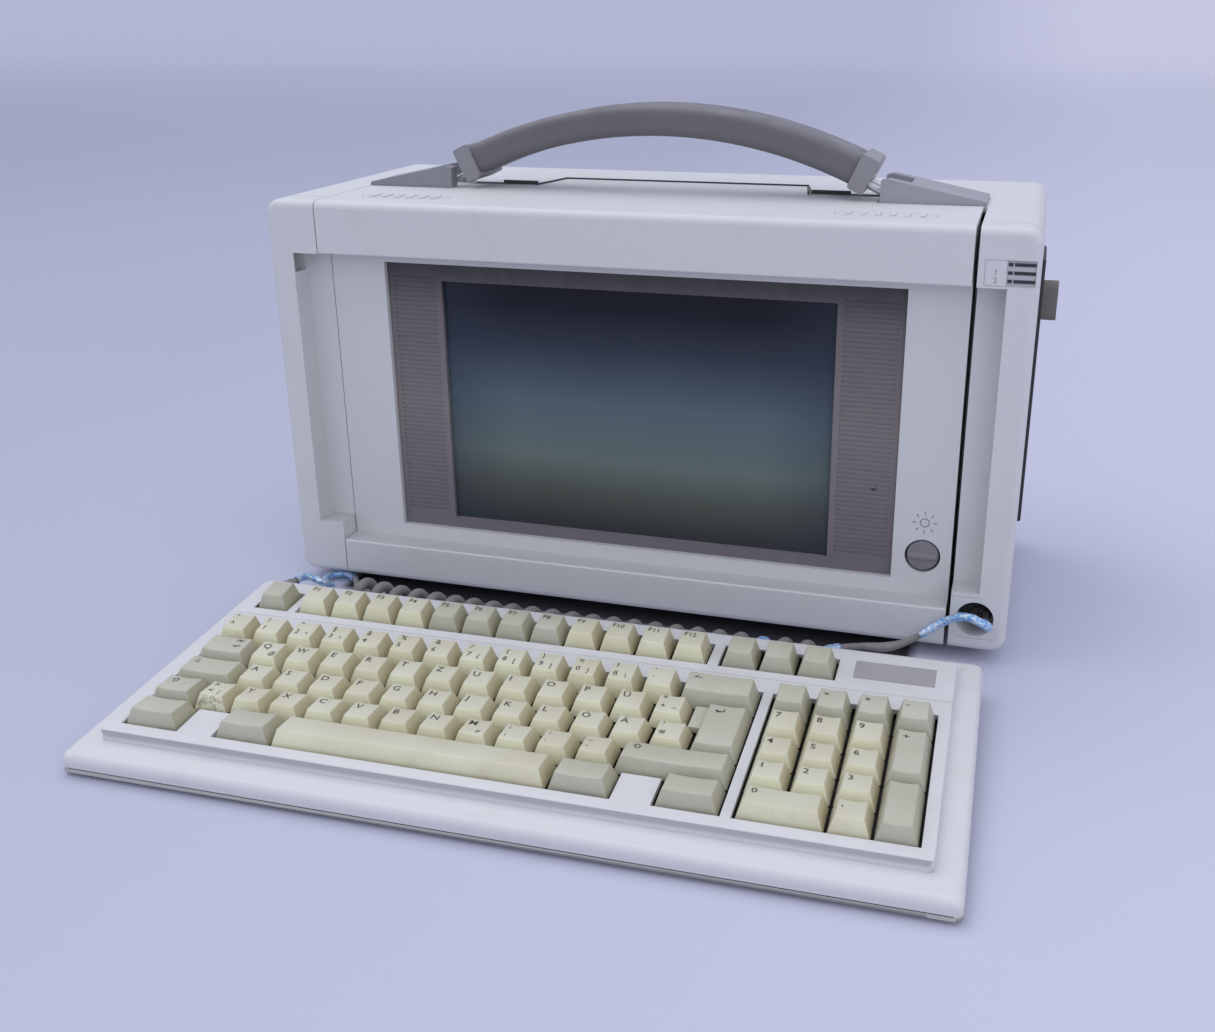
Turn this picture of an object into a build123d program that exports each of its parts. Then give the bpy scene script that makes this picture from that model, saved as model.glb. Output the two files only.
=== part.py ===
from build123d import *
import os
from math import asin, cos, degrees, pi, radians, sin, sqrt, tan

# Portable plasma-screen computer with a hinged keyboard that closes over its front.
# Millimetres. While it is drawn, x = 0 is the middle of the case, y = 0 is the case's
# front plane (+Y runs to the back) and z = 0 is the table. The last section moves it so
# that the origin is the middle of its footprint.

# ------------------------------------------------------------------ case
CASE_WIDTH = 406.0
CASE_HALF = CASE_WIDTH / 2
CASE_HEIGHT = 217.5
CASE_DEPTH = 176.0
CASE_CORNER = 8.0            # rounding of the four long edges
FRONT_ROUNDING = 4.0         # rounding round the front frame's face
REAR_ROUNDING = 7.0
SHELL_WALL = 3.0
FRONT_FRAME_DEPTH = 16.0     # from the front plane to the seam with the rear shell
PAN_HEIGHT = 8.0             # height of the base pan's walls
FOOT_HEIGHT = 7.0
FOOT_RADIUS = 9.0

# ------------------------------------------------------------------ display bay and display
PILLAR_LEFT = 29.5           # widths of the two pillars beside the display
PILLAR_RIGHT = 28.7
SEAM_LEFT = 0.6              # narrow seam left of the display, wide one right of it
SEAM_RIGHT = 2.2
HOOD_BOTTOM = 189.1          # heights above the case's underside
LEDGE_TOP = 21.9
BEZEL_RECESS = 14.1
BEZEL_WALL = 3.0
DISPLAY_DEPTH = 44.0         # moulded front, to its joint with the back cover
BACK_COVER = 2.5
COVER_GAP_WIDTH = 60.0       # opening in the back cover for the display's cables
COVER_GAP_HEIGHT = 18.0
COVER_GAP_BOTTOM = 6.0
BEZEL_SIDES = 64.8           # bay's width left and right of the window together
WINDOW_HEIGHT = 153.9
WINDOW_MIDDLE_X = 0.3
WINDOW_BOTTOM = 30.0
RIBBED_SIDES = 66.6          # window's width beside the glass
GLASS_HEIGHT = 138.0
GLASS_MIDDLE_X = -1.0
GLASS_BOTTOM = 36.2
FRAME_SHEET = 2.5            # ribbed frame behind the window
FRAME_LAP = 4.0              # how far it runs under the bezel
RIB_PITCH = 2.6
RIB_WIDTH = 1.2
RIB_DEPTH = 0.5
GLASS_SHEET = 3.0
GLASS_LAP = 3.0
PANEL_DEPTH = 11.0
BOARD_SHEET = 1.6
BOARD_GAP = 0.3              # behind the plasma panel
LID_CLEARANCE = 0.6          # round the display's top plate
TOP_REACH_SIDES = 65.5       # how far back the display's top plate runs, by zone
TOP_REACH_SLOTS = 87.0
TOP_REACH_TAB = 120.0
TAB_HALF_FRONT = 78.0
TAB_HALF_REAR = 72.0
BRACKET_INNER = 121.0        # handle brackets, from the handle's middle
BRACKET_INSET = 29.5         # from the case's side
FINGER_SLOT = 4.0            # slot between the top plate and the roof

# ------------------------------------------------------------------ pillars
CHANNEL_INSET = 14.7         # channels that take the keyboard deck, from the case's side
CHANNEL_BOTTOM = 32.3
CHANNEL_DEPTH = 14.4
LATCH_SLOT_DEPTH = 10.0
LATCH_SLOT_MARGIN = 3.5
CABLE_HOLE_INSET = 16.1
CABLE_HOLE_Z = 25.0
CABLE_HOLE_RADIUS = 9.5
STATUS_INSET = (15.5, 2.2)   # its two ends, from the case's side
STATUS_Z = (197.8, 209.6)
STATUS_DEPTH = 1.2
SOCKET_SIZE = 18.0
SOCKET_DEPTH = 12.0

# ------------------------------------------------------------------ handle
HANDLE_X = -1.5
HANDLE_Y = 83.0
GRIP_APEX = 271.5            # height of the grip's top above the table
GRIP_THICKNESS = 16.5
GRIP_WIDTH = 30.0
GRIP_REACH = 107.0           # half the chord between the ferrules
GRIP_RISE = 23.0
FERRULE_LENGTH = 9.5
FERRULE_PROUD = 1.3
STRAP_THICKNESS = 1.8
STRAP_WIDTH = 20.0
STRAP_CLEARANCE = 0.2
LINK_RADIUS = 2.0
LINK_LENGTH = 9.0
LINK_SPREAD = 7.0
BRACKET_WIDTH = 34.0
BRACKET_HEIGHT = 12.0
BRACKET_TOE = 2.0
CLEVIS_DEPTH = 15.0
LINK_SIDE_GAP = 0.3          # the links slide down between the brackets' cheeks

# ------------------------------------------------------------------ display arms and chassis
ARM_LENGTH = 65.0
ARM_INSET = 24.3             # from the right pillar's face
ARM_SHEET = 4.0
ARM_WIDTH = 13.0
ARM_FOOT = (57.0, 45.0)      # y, z of the arms' joint to the display
SHAFT_RADIUS = 4.0
STUB_RADIUS = 5.0
RUNNING_FIT = 0.05
LUG_SHEET = 5.0
LUG_GAP = 1.0
CHASSIS_SHEET = 1.5
CHASSIS_Y = 66.0

# ------------------------------------------------------------------ inside and right side
STANDOFF = 8.0
MAIN_BOARD = (143.0 - CASE_HALF, CASE_HALF - 9.0, 72.0, 168.0)
CHIP_WIDTH = 12.0
CHIP_STEP = 18.0
SUPPLY = (7.0 - CASE_HALF, 133.0 - CASE_HALF, 72.0, 150.0)
SUPPLY_HEIGHT = 84.0
DRIVE_SHELF_Z = 45.0
FLOPPY_Y = 115.0
FLOPPY_THICKNESS = 41.0
FLOPPY_HEIGHT = 146.0
FLOPPY_LENGTH = 150.0
BEZEL_PROUD = 2.5
BEZEL_LAP = 1.5
DISK_SLOT = 5.0
DISK_SLOT_LENGTH = 96.0
LEVER_LENGTH = 22.0
LEVER_WIDTH = 9.0
LEVER_PROUD = 8.0
LEVER_Z = 168.0
LEVER_PIVOT_RADIUS = 3.0
HARD_DRIVE = (13.0 - CASE_HALF, 115.0 - CASE_HALF, 68.0, 140.0)
HARD_DRIVE_HEIGHT = 41.0
HARD_DRIVE_SHELF_Z = 104.0
FAN_X = 10.0
FAN_Z = 150.0
FAN_SIZE = 80.0
FAN_DEPTH = 25.0
FAN_BORE = 37.0
FAN_HUB = 14.0
FAN_BLADES = 7
FAN_TIP_GAP = 1.5
SWITCH_Y = 147.0
SWITCH_Z = 25.0
SWITCH_WIDTH = 16.0
SWITCH_RADIUS = 7.0
SWITCH_GAP = 0.4
SWITCH_PIN = 1.5
SWITCH_SET = 8.0             # degrees it is tipped at rest
PORT_BOTTOM = 19.6
PORT_HEIGHT = 12.0

# ------------------------------------------------------------------ keyboard (own frame)
# x as above, d = 0 at the palm edge and growing towards the case, h = 0 on its underside.
KEYBOARD_X = 0.0
KEYBOARD_Y = -216.6          # palm edge on the table
KEYBOARD_TURN = 0.9          # degrees, its right end a little nearer the case
KEYBOARD_TILT = 3.0
KEYBOARD_INSET = 3.0         # from the case's sides
KEYBOARD_DEPTH = 177.5
BASE_HEIGHT = 4.5
FLANGE_HEIGHT = 10.5
DECK_HEIGHT = 16.5
DECK_INSET = 15.7            # from the keyboard's sides
DECK_FRONT = 17.0
DECK_REAR = 163.4
PALM_ROUNDING = 4.5
KEYBOARD_CORNER = 17.0
KEYBOARD_WALL = 2.5
BASE_FLOOR = 2.0
KEY_GAP = 1.0
KEY_TRAVEL = 3.5
SKIRT_BOTTOM = 14.2
KEY_SIDE_SLOPE = 3.0
KEY_FRONT_SLOPE = 2.8
KEY_REAR_SLOPE = 2.2
KEY_DISH_RADIUS = 26.0
KEY_DISH_DEPTH = 0.6
STEM_SIZE = 6.6
STEM_BOTTOM = 7.4
STEM_CLEARANCE = 0.2
OPENING_MARGIN = 0.6
KEYS_SIDE = 7.3              # from the deck's left side to the keys
KEYPAD_SIDE = 6.1            # from the keypad to the deck's right side
KEYPAD_GAP = 5.6             # between the letters' block and the keypad
PITCHES_ACROSS = 19          # 15 in the letters' block and 4 in the keypad
KEYS_FRONT = 24.0
FUNCTION_FRONT = 135.0
FUNCTION_SHIFT = 23.9        # F1 from the keys' left edge
SYSTEM_SHIFT = 30.6          # three system keys, left of the keypad's left edge
PLATE_BOTTOM = 9.0
PLATE_SHEET = 1.2
KEYBOARD_BOARD_SHEET = 1.6
KEYBOARD_BOARD_REAR = 146.0
FOOT_HINGE = (165.0, 2.9)    # d, h of the fold-out feet
FOOT_INSET = 50.0
FOOT_WIDTH = 24.0
FOOT_SHEET = 3.6
FOOT_PIN = 1.5
FOOT_POCKET = 5.4
STOWED_GAP = 0.5             # closed: under the hood, and in front of the pillars
STOWED_FACE_GAP = 1.1
PAD_RADIUS = 5.0
PAD_HEIGHT = 1.0
PAD_D = 13.0
TONGUE_D = 22.0              # catch tongues, between the deck's front wall and the keys
TONGUE_WIDTH = 4.0
TONGUE_HEIGHT = 2.2
TONGUE_LENGTH = 18.0
TONGUE_THROW = 9.0
TONGUE_COVER = 1.4           # of the deck left above a tongue
TONGUE_GUIDE = 20.0
SLIDE_CLEARANCE = 0.3
BADGE_INSET = (46.7, 8.9)    # its two ends, from the deck's right side
BADGE_D = (139.0, 154.5)
BADGE_SHEET = 0.8
BADGE_PROUD = 0.2
GROOVE_D = 128.0
GROOVE = 0.6
GLAND_INSET = 16.0
GLAND_H = 5.2
GLAND_RADIUS = 4.5
GLAND_LENGTH = 5.0

# ------------------------------------------------------------------ keyboard cord
CORD_DIAMETER = 5.6
COIL_RADIUS = 4.9            # of the wire's centre line
COIL_PITCH = 11.6
COIL_TURNS = 24
COIL_LEFT = -156.0
COIL_Y_RIGHT = -28.7
COIL_BOW = 13.6              # how far the left end lies behind the keyboard's line
COIL_FLOOR_GAP = 0.2

# ------------------------------------------------------------------ buttons on the hood
RELEASE_INSET = (41.4, 44.6)  # from the display's left and right sides
RELEASE_Y = 26.0
RELEASE_LENGTH = 50.0
RELEASE_WIDTH = 14.0
RELEASE_RIBS = 6
RELEASE_STEM = 6.0
BUTTON_CLEARANCE = 0.4
RELEASE_TRAVEL = 2.5
KNOB_INSET = 14.6            # from the display's right side
KNOB_Z = 51.0
KNOB_RADIUS = 8.8
KNOB_PROUD = 1.6
KNOB_BAR = 3.2
KNOB_STEM = 3.0

CASE_BOTTOM = FOOT_HEIGHT
CASE_TOP = FOOT_HEIGHT + CASE_HEIGHT
CASE_MIDDLE_Z = (CASE_BOTTOM + CASE_TOP) / 2
INNER_FLOOR = CASE_BOTTOM + SHELL_WALL
BAY_LEFT = PILLAR_LEFT - CASE_HALF
BAY_RIGHT = CASE_HALF - PILLAR_RIGHT
DISPLAY_LEFT = BAY_LEFT + SEAM_LEFT
DISPLAY_RIGHT = BAY_RIGHT - SEAM_RIGHT
WINDOW_WIDTH = BAY_RIGHT - BAY_LEFT - BEZEL_SIDES
GLASS_WIDTH = WINDOW_WIDTH - RIBBED_SIDES
CHANNEL_OUTER = CASE_HALF - CHANNEL_INSET
CABLE_HOLE_X = CASE_HALF - CABLE_HOLE_INSET
STATUS_X = (CASE_HALF - STATUS_INSET[0], CASE_HALF - STATUS_INSET[1])
BRACKET_OUTER = CASE_HALF - BRACKET_INSET
ARM_X = BAY_RIGHT - ARM_INSET
RELEASE_X = (DISPLAY_LEFT + RELEASE_INSET[0], DISPLAY_RIGHT - RELEASE_INSET[1])
KNOB_X = DISPLAY_RIGHT - KNOB_INSET
HOOD_Z = CASE_BOTTOM + HOOD_BOTTOM
LEDGE_Z = CASE_BOTTOM + LEDGE_TOP
BEZEL_BACK = BEZEL_RECESS + BEZEL_WALL
KEYBOARD_WIDTH = CASE_WIDTH - 2 * KEYBOARD_INSET
DECK_WIDTH = KEYBOARD_WIDTH - 2 * DECK_INSET
KEY_PITCH = (DECK_WIDTH - KEYS_SIDE - KEYPAD_GAP - KEYPAD_SIDE) / PITCHES_ACROSS
KEYS_LEFT = KEYS_SIDE - DECK_WIDTH / 2
KEYPAD_LEFT = DECK_WIDTH / 2 - KEYPAD_SIDE - 4 * KEY_PITCH
FUNCTION_LEFT = KEYS_LEFT + FUNCTION_SHIFT
SYSTEM_LEFT = KEYPAD_LEFT - SYSTEM_SHIFT
FOOT_X = KEYBOARD_WIDTH / 2 - FOOT_INSET
BADGE_X = (DECK_WIDTH / 2 - BADGE_INSET[0], DECK_WIDTH / 2 - BADGE_INSET[1])
GLAND_X = GLAND_INSET - KEYBOARD_WIDTH / 2

parts = {}


# ------------------------------------------------------------------ drawing helpers
def block(x0, x1, y0, y1, z0, z1):
    middle = Pos((x0 + x1) / 2, (y0 + y1) / 2, (z0 + z1) / 2)
    return middle * Box(x1 - x0, y1 - y0, z1 - z0)


def along_x(sketch, x0, x1):
    plane = Plane(origin=(x0, 0, 0), x_dir=(0, 1, 0), z_dir=(1, 0, 0))
    return extrude(plane * sketch, amount=x1 - x0)


def along_y(sketch, y0, y1):
    plane = Plane(origin=(0, y0, 0), x_dir=(1, 0, 0), z_dir=(0, -1, 0))
    return extrude(plane * sketch, amount=y0 - y1)


def along_z(sketch, z0, z1):
    return extrude(Plane(origin=(0, 0, z0)) * sketch, amount=z1 - z0)


def outline(*points):
    return make_face(Polyline(*points, close=True))


def rod_x(radius, x0, x1, y, z):
    return along_x(Pos(y, z) * Circle(radius), x0, x1)


def rod_y(radius, x, y0, y1, z):
    return along_y(Pos(x, z) * Circle(radius), y0, y1)


def rod_z(radius, x, y, z0, z1):
    return along_z(Pos(x, y) * Circle(radius), z0, z1)


def fused(pieces):
    pieces = list(pieces)
    return pieces[0].fuse(*pieces[1:]) if len(pieces) > 1 else pieces[0]


def group(pieces):
    return Compound(children=list(pieces))


# ------------------------------------------------------------------ case
def case_profile(inset=0.0):
    shape = RectangleRounded(CASE_WIDTH - 2 * inset, CASE_HEIGHT - 2 * inset, CASE_CORNER - inset)
    return Pos(0, CASE_MIDDLE_Z) * shape


def channel(side):
    edge = BAY_RIGHT if side > 0 else -BAY_LEFT
    x0, x1 = sorted((side * CHANNEL_OUTER, side * (edge - 1)))
    return block(x0, x1, -1, CHANNEL_DEPTH, CASE_BOTTOM + CHANNEL_BOTTOM, HOOD_Z)


def latch_slot(side):
    half = TONGUE_WIDTH / 2 + LATCH_SLOT_MARGIN
    z = STOWED_TOP - TONGUE_D
    x0, x1 = sorted((side * (CHANNEL_OUTER - 1), side * (CHANNEL_OUTER + LATCH_SLOT_DEPTH)))
    return block(x0, x1, STOWED_Y + TONGUE_BOTTOM - SLIDE_CLEARANCE, CHANNEL_DEPTH - 2.0,
                 z - half, z + half)


def front_pillar(side):
    whole = along_y(case_profile(), 0, FRONT_FRAME_DEPTH)
    whole = fillet(whole.faces().sort_by(Axis.Y)[0].edges(), FRONT_ROUNDING)
    if side < 0:
        keep = block(-CASE_WIDTH, BAY_LEFT, -1, FRONT_FRAME_DEPTH, 0, 2 * CASE_HEIGHT)
    else:
        keep = block(BAY_RIGHT, CASE_WIDTH, -1, FRONT_FRAME_DEPTH, 0, 2 * CASE_HEIGHT)
    pillar = whole & keep
    pillar -= channel(side)
    pillar -= latch_slot(side)
    if side > 0:
        pillar -= rod_y(CABLE_HOLE_RADIUS, CABLE_HOLE_X, -1, FRONT_FRAME_DEPTH + 1, CABLE_HOLE_Z)
        pillar -= block(*STATUS_X, -1, STATUS_DEPTH, *STATUS_Z)
    return pillar


def status_lights():
    x0, x1 = STATUS_X
    z0, z1 = STATUS_Z
    seat = SLIDE_CLEARANCE / 3
    pane = block(x0 + seat, x1 - seat, STATUS_DEPTH / 2, STATUS_DEPTH, z0 + seat, z1 - seat)
    step = (z1 - z0) / 3
    lights = []
    for row in range(3):
        z = z0 + step * (row + 0.5)
        lights.append(block(x0 + 0.6, x0 + 2.6, 0.1, STATUS_DEPTH / 2, z - 0.8, z + 0.8))
        lights.append(block(x0 + 3.3, x1 - 0.2, 0.1, STATUS_DEPTH / 2, z - 0.8, z + 0.8))
    return fused([pane] + lights)


def roof_opening():
    gap = LID_CLEARANCE
    inner = BRACKET_INNER - 2.5
    slot = TOP_REACH_SLOTS + FINGER_SLOT
    slot_half = TAB_HALF_FRONT + 1.5
    return outline((BAY_LEFT, FRONT_FRAME_DEPTH - 1), (BAY_RIGHT, FRONT_FRAME_DEPTH - 1),
                   (BAY_RIGHT, TOP_REACH_SIDES + gap), (inner, TOP_REACH_SIDES + gap),
                   (inner, slot), (slot_half, slot), (TAB_HALF_REAR + gap, TOP_REACH_TAB + gap),
                   (-TAB_HALF_REAR - gap, TOP_REACH_TAB + gap), (-slot_half, slot),
                   (-inner, slot), (-inner, TOP_REACH_SIDES + gap),
                   (BAY_LEFT, TOP_REACH_SIDES + gap))


def case_shell():
    outer = along_y(case_profile(), FRONT_FRAME_DEPTH, CASE_DEPTH)
    outer = fillet(outer.faces().sort_by(Axis.Y)[-1].edges(), REAR_ROUNDING)
    inner = along_y(case_profile(SHELL_WALL), FRONT_FRAME_DEPTH - 1, CASE_DEPTH - SHELL_WALL)
    shell = outer - inner
    bay_back = DISPLAY_DEPTH + BACK_COVER + LID_CLEARANCE
    shell -= block(BAY_LEFT, BAY_RIGHT, FRONT_FRAME_DEPTH - 1, bay_back, 0, 2 * CASE_HEIGHT)
    shell -= along_z(roof_opening(), CASE_TOP - 2 * SHELL_WALL, CASE_TOP + 1)
    return shell


def fan_grille():
    bars = 9
    step = 2 * FAN_BORE / bars
    cuts = []
    for k in range(bars):
        z = FAN_Z + (k - (bars - 1) / 2) * step
        half = sqrt(FAN_BORE ** 2 - (z - FAN_Z) ** 2) - 1.0
        cuts.append(block(FAN_X - half, FAN_X + half, CASE_DEPTH - 2 * SHELL_WALL, CASE_DEPTH + 1,
                          z - step / 4, z + step / 4))
    return cuts


def side_vents():
    slots, step = 12, 7.0
    y0 = 62.0
    return [block(-CASE_HALF - 1, -CASE_HALF + 2 * SHELL_WALL, y0 + k * step, y0 + k * step + 3.2,
                  CASE_TOP - 72, CASE_TOP - 28) for k in range(slots)]


PORTS = {"parallel_port": (62.0, 114.0), "serial_port": (22.0, 52.0), "video_port": (-22.0, 8.0)}
INLET_X = (-160.0, -132.0)
INLET_Z = (48.0, 70.0)
SCREW_X = CASE_HALF - 13.0
SCREWS = [(x, z) for z in (28.0, 200.0) for x in (-SCREW_X, SCREW_X)] + [(-60.0, 200.0), (60.0, 200.0)]
SCREW_RADIUS = 3.6
SCREW_SEAT = 1.5


def rear_shell():
    shell = case_shell() & block(-CASE_WIDTH, CASE_WIDTH, 0, 2 * CASE_DEPTH,
                                 CASE_BOTTOM + PAN_HEIGHT, 2 * CASE_HEIGHT)
    y0 = FLOPPY_Y - FLOPPY_THICKNESS / 2 - SLIDE_CLEARANCE
    y1 = FLOPPY_Y + FLOPPY_THICKNESS / 2 + SLIDE_CLEARANCE
    z0 = DRIVE_SHELF_Z + CHASSIS_SHEET - SLIDE_CLEARANCE
    z1 = DRIVE_SHELF_Z + CHASSIS_SHEET + FLOPPY_HEIGHT + SLIDE_CLEARANCE
    cuts = [block(CASE_HALF - 2 * SHELL_WALL, CASE_HALF + 1, y0, y1, z0, z1)]
    half = SWITCH_WIDTH / 2 + SWITCH_GAP
    reach = SWITCH_RADIUS + SWITCH_GAP
    cuts.append(block(CASE_HALF - 2 * SHELL_WALL, CASE_HALF + 1, SWITCH_Y - half, SWITCH_Y + half,
                      SWITCH_Z - reach, SWITCH_Z + reach))
    for x0, x1 in PORTS.values():
        cuts.append(block(x0 - SLIDE_CLEARANCE, x1 + SLIDE_CLEARANCE, CASE_DEPTH - 2 * SHELL_WALL,
                          CASE_DEPTH + 1, PORT_BOTTOM - SLIDE_CLEARANCE,
                          PORT_BOTTOM + PORT_HEIGHT + SLIDE_CLEARANCE))
    cuts.append(block(INLET_X[0] - SLIDE_CLEARANCE, INLET_X[1] + SLIDE_CLEARANCE,
                      CASE_DEPTH - 2 * SHELL_WALL, CASE_DEPTH + 1,
                      INLET_Z[0] - SLIDE_CLEARANCE, INLET_Z[1] + SLIDE_CLEARANCE))
    cuts += fan_grille() + side_vents()
    cuts += [rod_y(SCREW_RADIUS + RUNNING_FIT, x, CASE_DEPTH - SCREW_SEAT, CASE_DEPTH + 1, z)
             for x, z in SCREWS]
    shell = shell.cut(*cuts)
    ear_x = CASE_HALF - SHELL_WALL
    ears = []
    for y in (SWITCH_Y - half - 2.5, SWITCH_Y + half):
        ear = block(ear_x - 10, ear_x, y, y + 2.5, SWITCH_Z - 5, SWITCH_Z + 5)
        ears.append(ear - rod_y(SWITCH_PIN + RUNNING_FIT, CASE_HALF - SWITCH_RADIUS + 1.5,
                                y - 1, y + 4, SWITCH_Z))
    return shell.fuse(*ears)


def base_pan():
    pan = case_shell() & block(-CASE_WIDTH, CASE_WIDTH, 0, 2 * CASE_DEPTH, 0,
                               CASE_BOTTOM + PAN_HEIGHT)
    x0, x1, y0, y1 = MAIN_BOARD
    posts = [rod_z(3.5, x, y, INNER_FLOOR, INNER_FLOOR + STANDOFF)
             for x in (x0 + 8, (x0 + x1) / 2, x1 - 8) for y in (y0 + 8, y1 - 8)]
    x0, x1, y0, y1 = SUPPLY
    posts += [rod_z(4.0, x, y, INNER_FLOOR, INNER_FLOOR + STANDOFF / 2)
              for x in (x0 + 10, x1 - 10) for y in (y0 + 10, y1 - 10)]
    return pan.fuse(*posts)


def case_feet():
    shape = revolve(Plane.XZ * outline((0, 0), (FOOT_RADIUS - 1.5, 0), (FOOT_RADIUS, 2.0),
                                       (FOOT_RADIUS, FOOT_HEIGHT), (0, FOOT_HEIGHT)), Axis.Z)
    reach = CASE_HALF - 17
    places = [(x, y) for x in (-reach, reach) for y in (29, CASE_DEPTH - 24)]
    return group([Pos(x, y, 0) * shape for x, y in places])


def case_screws():
    screws = []
    for x, z in SCREWS:
        head = rod_y(SCREW_RADIUS, x, CASE_DEPTH - SCREW_SEAT, CASE_DEPTH - 0.3, z)
        screws.append(head - block(x - 2.6, x + 2.6, CASE_DEPTH - 0.9, CASE_DEPTH, z - 0.5, z + 0.5))
    return group(screws)


# ------------------------------------------------------------------ display
def display_front():
    z0, z1 = CASE_BOTTOM, CASE_TOP
    skin = outline((0, z0), (DISPLAY_DEPTH, z0), (DISPLAY_DEPTH, z1), (0, z1), (0, HOOD_Z),
                   (BEZEL_RECESS, HOOD_Z), (BEZEL_RECESS, LEDGE_Z), (0, LEDGE_Z))
    wall = BEZEL_WALL
    core = outline((wall, z0 + wall), (DISPLAY_DEPTH + 1, z0 + wall), (DISPLAY_DEPTH + 1, z1 - wall),
                   (wall, z1 - wall), (wall, HOOD_Z + wall), (BEZEL_BACK, HOOD_Z + wall),
                   (BEZEL_BACK, LEDGE_Z - wall), (wall, LEDGE_Z - wall))
    body = along_x(skin, DISPLAY_LEFT, DISPLAY_RIGHT)
    front_edges = [e for e in body.edges().filter_by(Axis.X)
                   if e.center().Y < 0.1 and (e.center().Z > HOOD_Z + 1 or e.center().Z < LEDGE_Z - 1)]
    body = fillet(front_edges, FRONT_ROUNDING)
    lips = [e for e in body.edges().filter_by(Axis.X)
            if e.center().Y < 0.1 and abs(e.center().Z - (HOOD_Z + LEDGE_Z) / 2) < 90]
    body = fillet(lips, 1.2)
    body -= along_x(core, DISPLAY_LEFT + wall, DISPLAY_RIGHT - wall)
    x0 = WINDOW_MIDDLE_X - WINDOW_WIDTH / 2
    z0 = CASE_BOTTOM + WINDOW_BOTTOM
    body -= block(x0, x0 + WINDOW_WIDTH, 0, BEZEL_BACK + 1, z0, z0 + WINDOW_HEIGHT)
    body -= rod_y(KNOB_RADIUS + BUTTON_CLEARANCE, KNOB_X, 0, BEZEL_BACK + 1, KNOB_Z)
    lid = outline((DISPLAY_LEFT, DISPLAY_DEPTH), (DISPLAY_RIGHT, DISPLAY_DEPTH),
                  (DISPLAY_RIGHT, TOP_REACH_SIDES), (BRACKET_INNER - 3.2, TOP_REACH_SIDES),
                  (BRACKET_INNER - 3.2, TOP_REACH_SLOTS), (TAB_HALF_FRONT, TOP_REACH_SLOTS),
                  (TAB_HALF_REAR, TOP_REACH_TAB), (-TAB_HALF_REAR, TOP_REACH_TAB),
                  (-TAB_HALF_FRONT, TOP_REACH_SLOTS), (3.2 - BRACKET_INNER, TOP_REACH_SLOTS),
                  (3.2 - BRACKET_INNER, TOP_REACH_SIDES), (DISPLAY_LEFT, TOP_REACH_SIDES))
    body += along_z(lid, CASE_TOP - wall, CASE_TOP)
    for x in RELEASE_X:
        slot = Pos(x, RELEASE_Y) * SlotOverall(RELEASE_LENGTH + 2 * BUTTON_CLEARANCE,
                                               RELEASE_WIDTH + 2 * BUTTON_CLEARANCE)
        body -= along_z(slot, CASE_TOP - wall - 1, CASE_TOP + 1)
        floor = Pos(x, RELEASE_Y) * Rectangle(RELEASE_LENGTH + 8, RELEASE_WIDTH + 6)
        well = along_z(floor, CASE_TOP - 12, CASE_TOP - wall)
        inside = Pos(x, RELEASE_Y) * Rectangle(RELEASE_LENGTH + 4, RELEASE_WIDTH + 2)
        well -= along_z(inside, CASE_TOP - 10, CASE_TOP - wall)
        well -= rod_z(RELEASE_STEM / 2 + RUNNING_FIT, x, RELEASE_Y, CASE_TOP - 13, CASE_TOP)
        body += well
    return body


def display_back():
    y0 = DISPLAY_DEPTH
    cover = block(DISPLAY_LEFT, DISPLAY_RIGHT, y0, y0 + BACK_COVER, CASE_BOTTOM, CASE_TOP - BEZEL_WALL)
    gap_z = CASE_BOTTOM + COVER_GAP_BOTTOM
    cover -= block(-COVER_GAP_WIDTH / 2, COVER_GAP_WIDTH / 2, y0 - 1, y0 + BACK_COVER + 1,
                   gap_z, gap_z + COVER_GAP_HEIGHT)
    y, z = ARM_FOOT
    lugs = []
    for side in (-1, 1):
        inner = ARM_X - ARM_SHEET / 2 - LUG_GAP - LUG_SHEET
        x0, x1 = sorted((side * inner, side * (inner + LUG_SHEET)))
        lug = block(x0, x1, y0 + BACK_COVER, y, z - 7, z + 7) + rod_x(7, x0, x1, y, z)
        lugs.append(lug - rod_x(SHAFT_RADIUS + RUNNING_FIT, x0 - 1, x1 + 1, y, z))
    return cover.fuse(*lugs)


def glass_zone(margin, y0, y1):
    x0 = GLASS_MIDDLE_X - GLASS_WIDTH / 2 - margin
    z0 = CASE_BOTTOM + GLASS_BOTTOM - margin
    return block(x0, x0 + GLASS_WIDTH + 2 * margin, y0, y1, z0, z0 + GLASS_HEIGHT + 2 * margin)


def screen_frame():
    x0 = WINDOW_MIDDLE_X - WINDOW_WIDTH / 2
    z0 = CASE_BOTTOM + WINDOW_BOTTOM
    y0, y1 = BEZEL_BACK, BEZEL_BACK + FRAME_SHEET
    sheet = block(x0 - FRAME_LAP, x0 + WINDOW_WIDTH + FRAME_LAP, y0, y1,
                  z0 - FRAME_LAP, z0 + WINDOW_HEIGHT + FRAME_LAP)
    sheet -= glass_zone(0.0, y0 - 1, y1 + 1)
    sheet -= rod_y(KNOB_RADIUS + 1.0, KNOB_X, y0 - 1, y1 + 1, KNOB_Z)
    glass_x0 = GLASS_MIDDLE_X - GLASS_WIDTH / 2
    zones = ((x0 + 3.5, glass_x0 - 3.5), (glass_x0 + GLASS_WIDTH + 3.5, x0 + WINDOW_WIDTH - 3.5))
    count = int(GLASS_HEIGHT / RIB_PITCH)
    grooves = []
    for k in range(count):
        z = z0 + 10.0 + k * RIB_PITCH
        for a, b in zones:
            grooves.append(block(a, b, y0 - 1, y0 + RIB_DEPTH, z, z + RIB_PITCH - RIB_WIDTH))
    return sheet.cut(*grooves)


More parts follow.
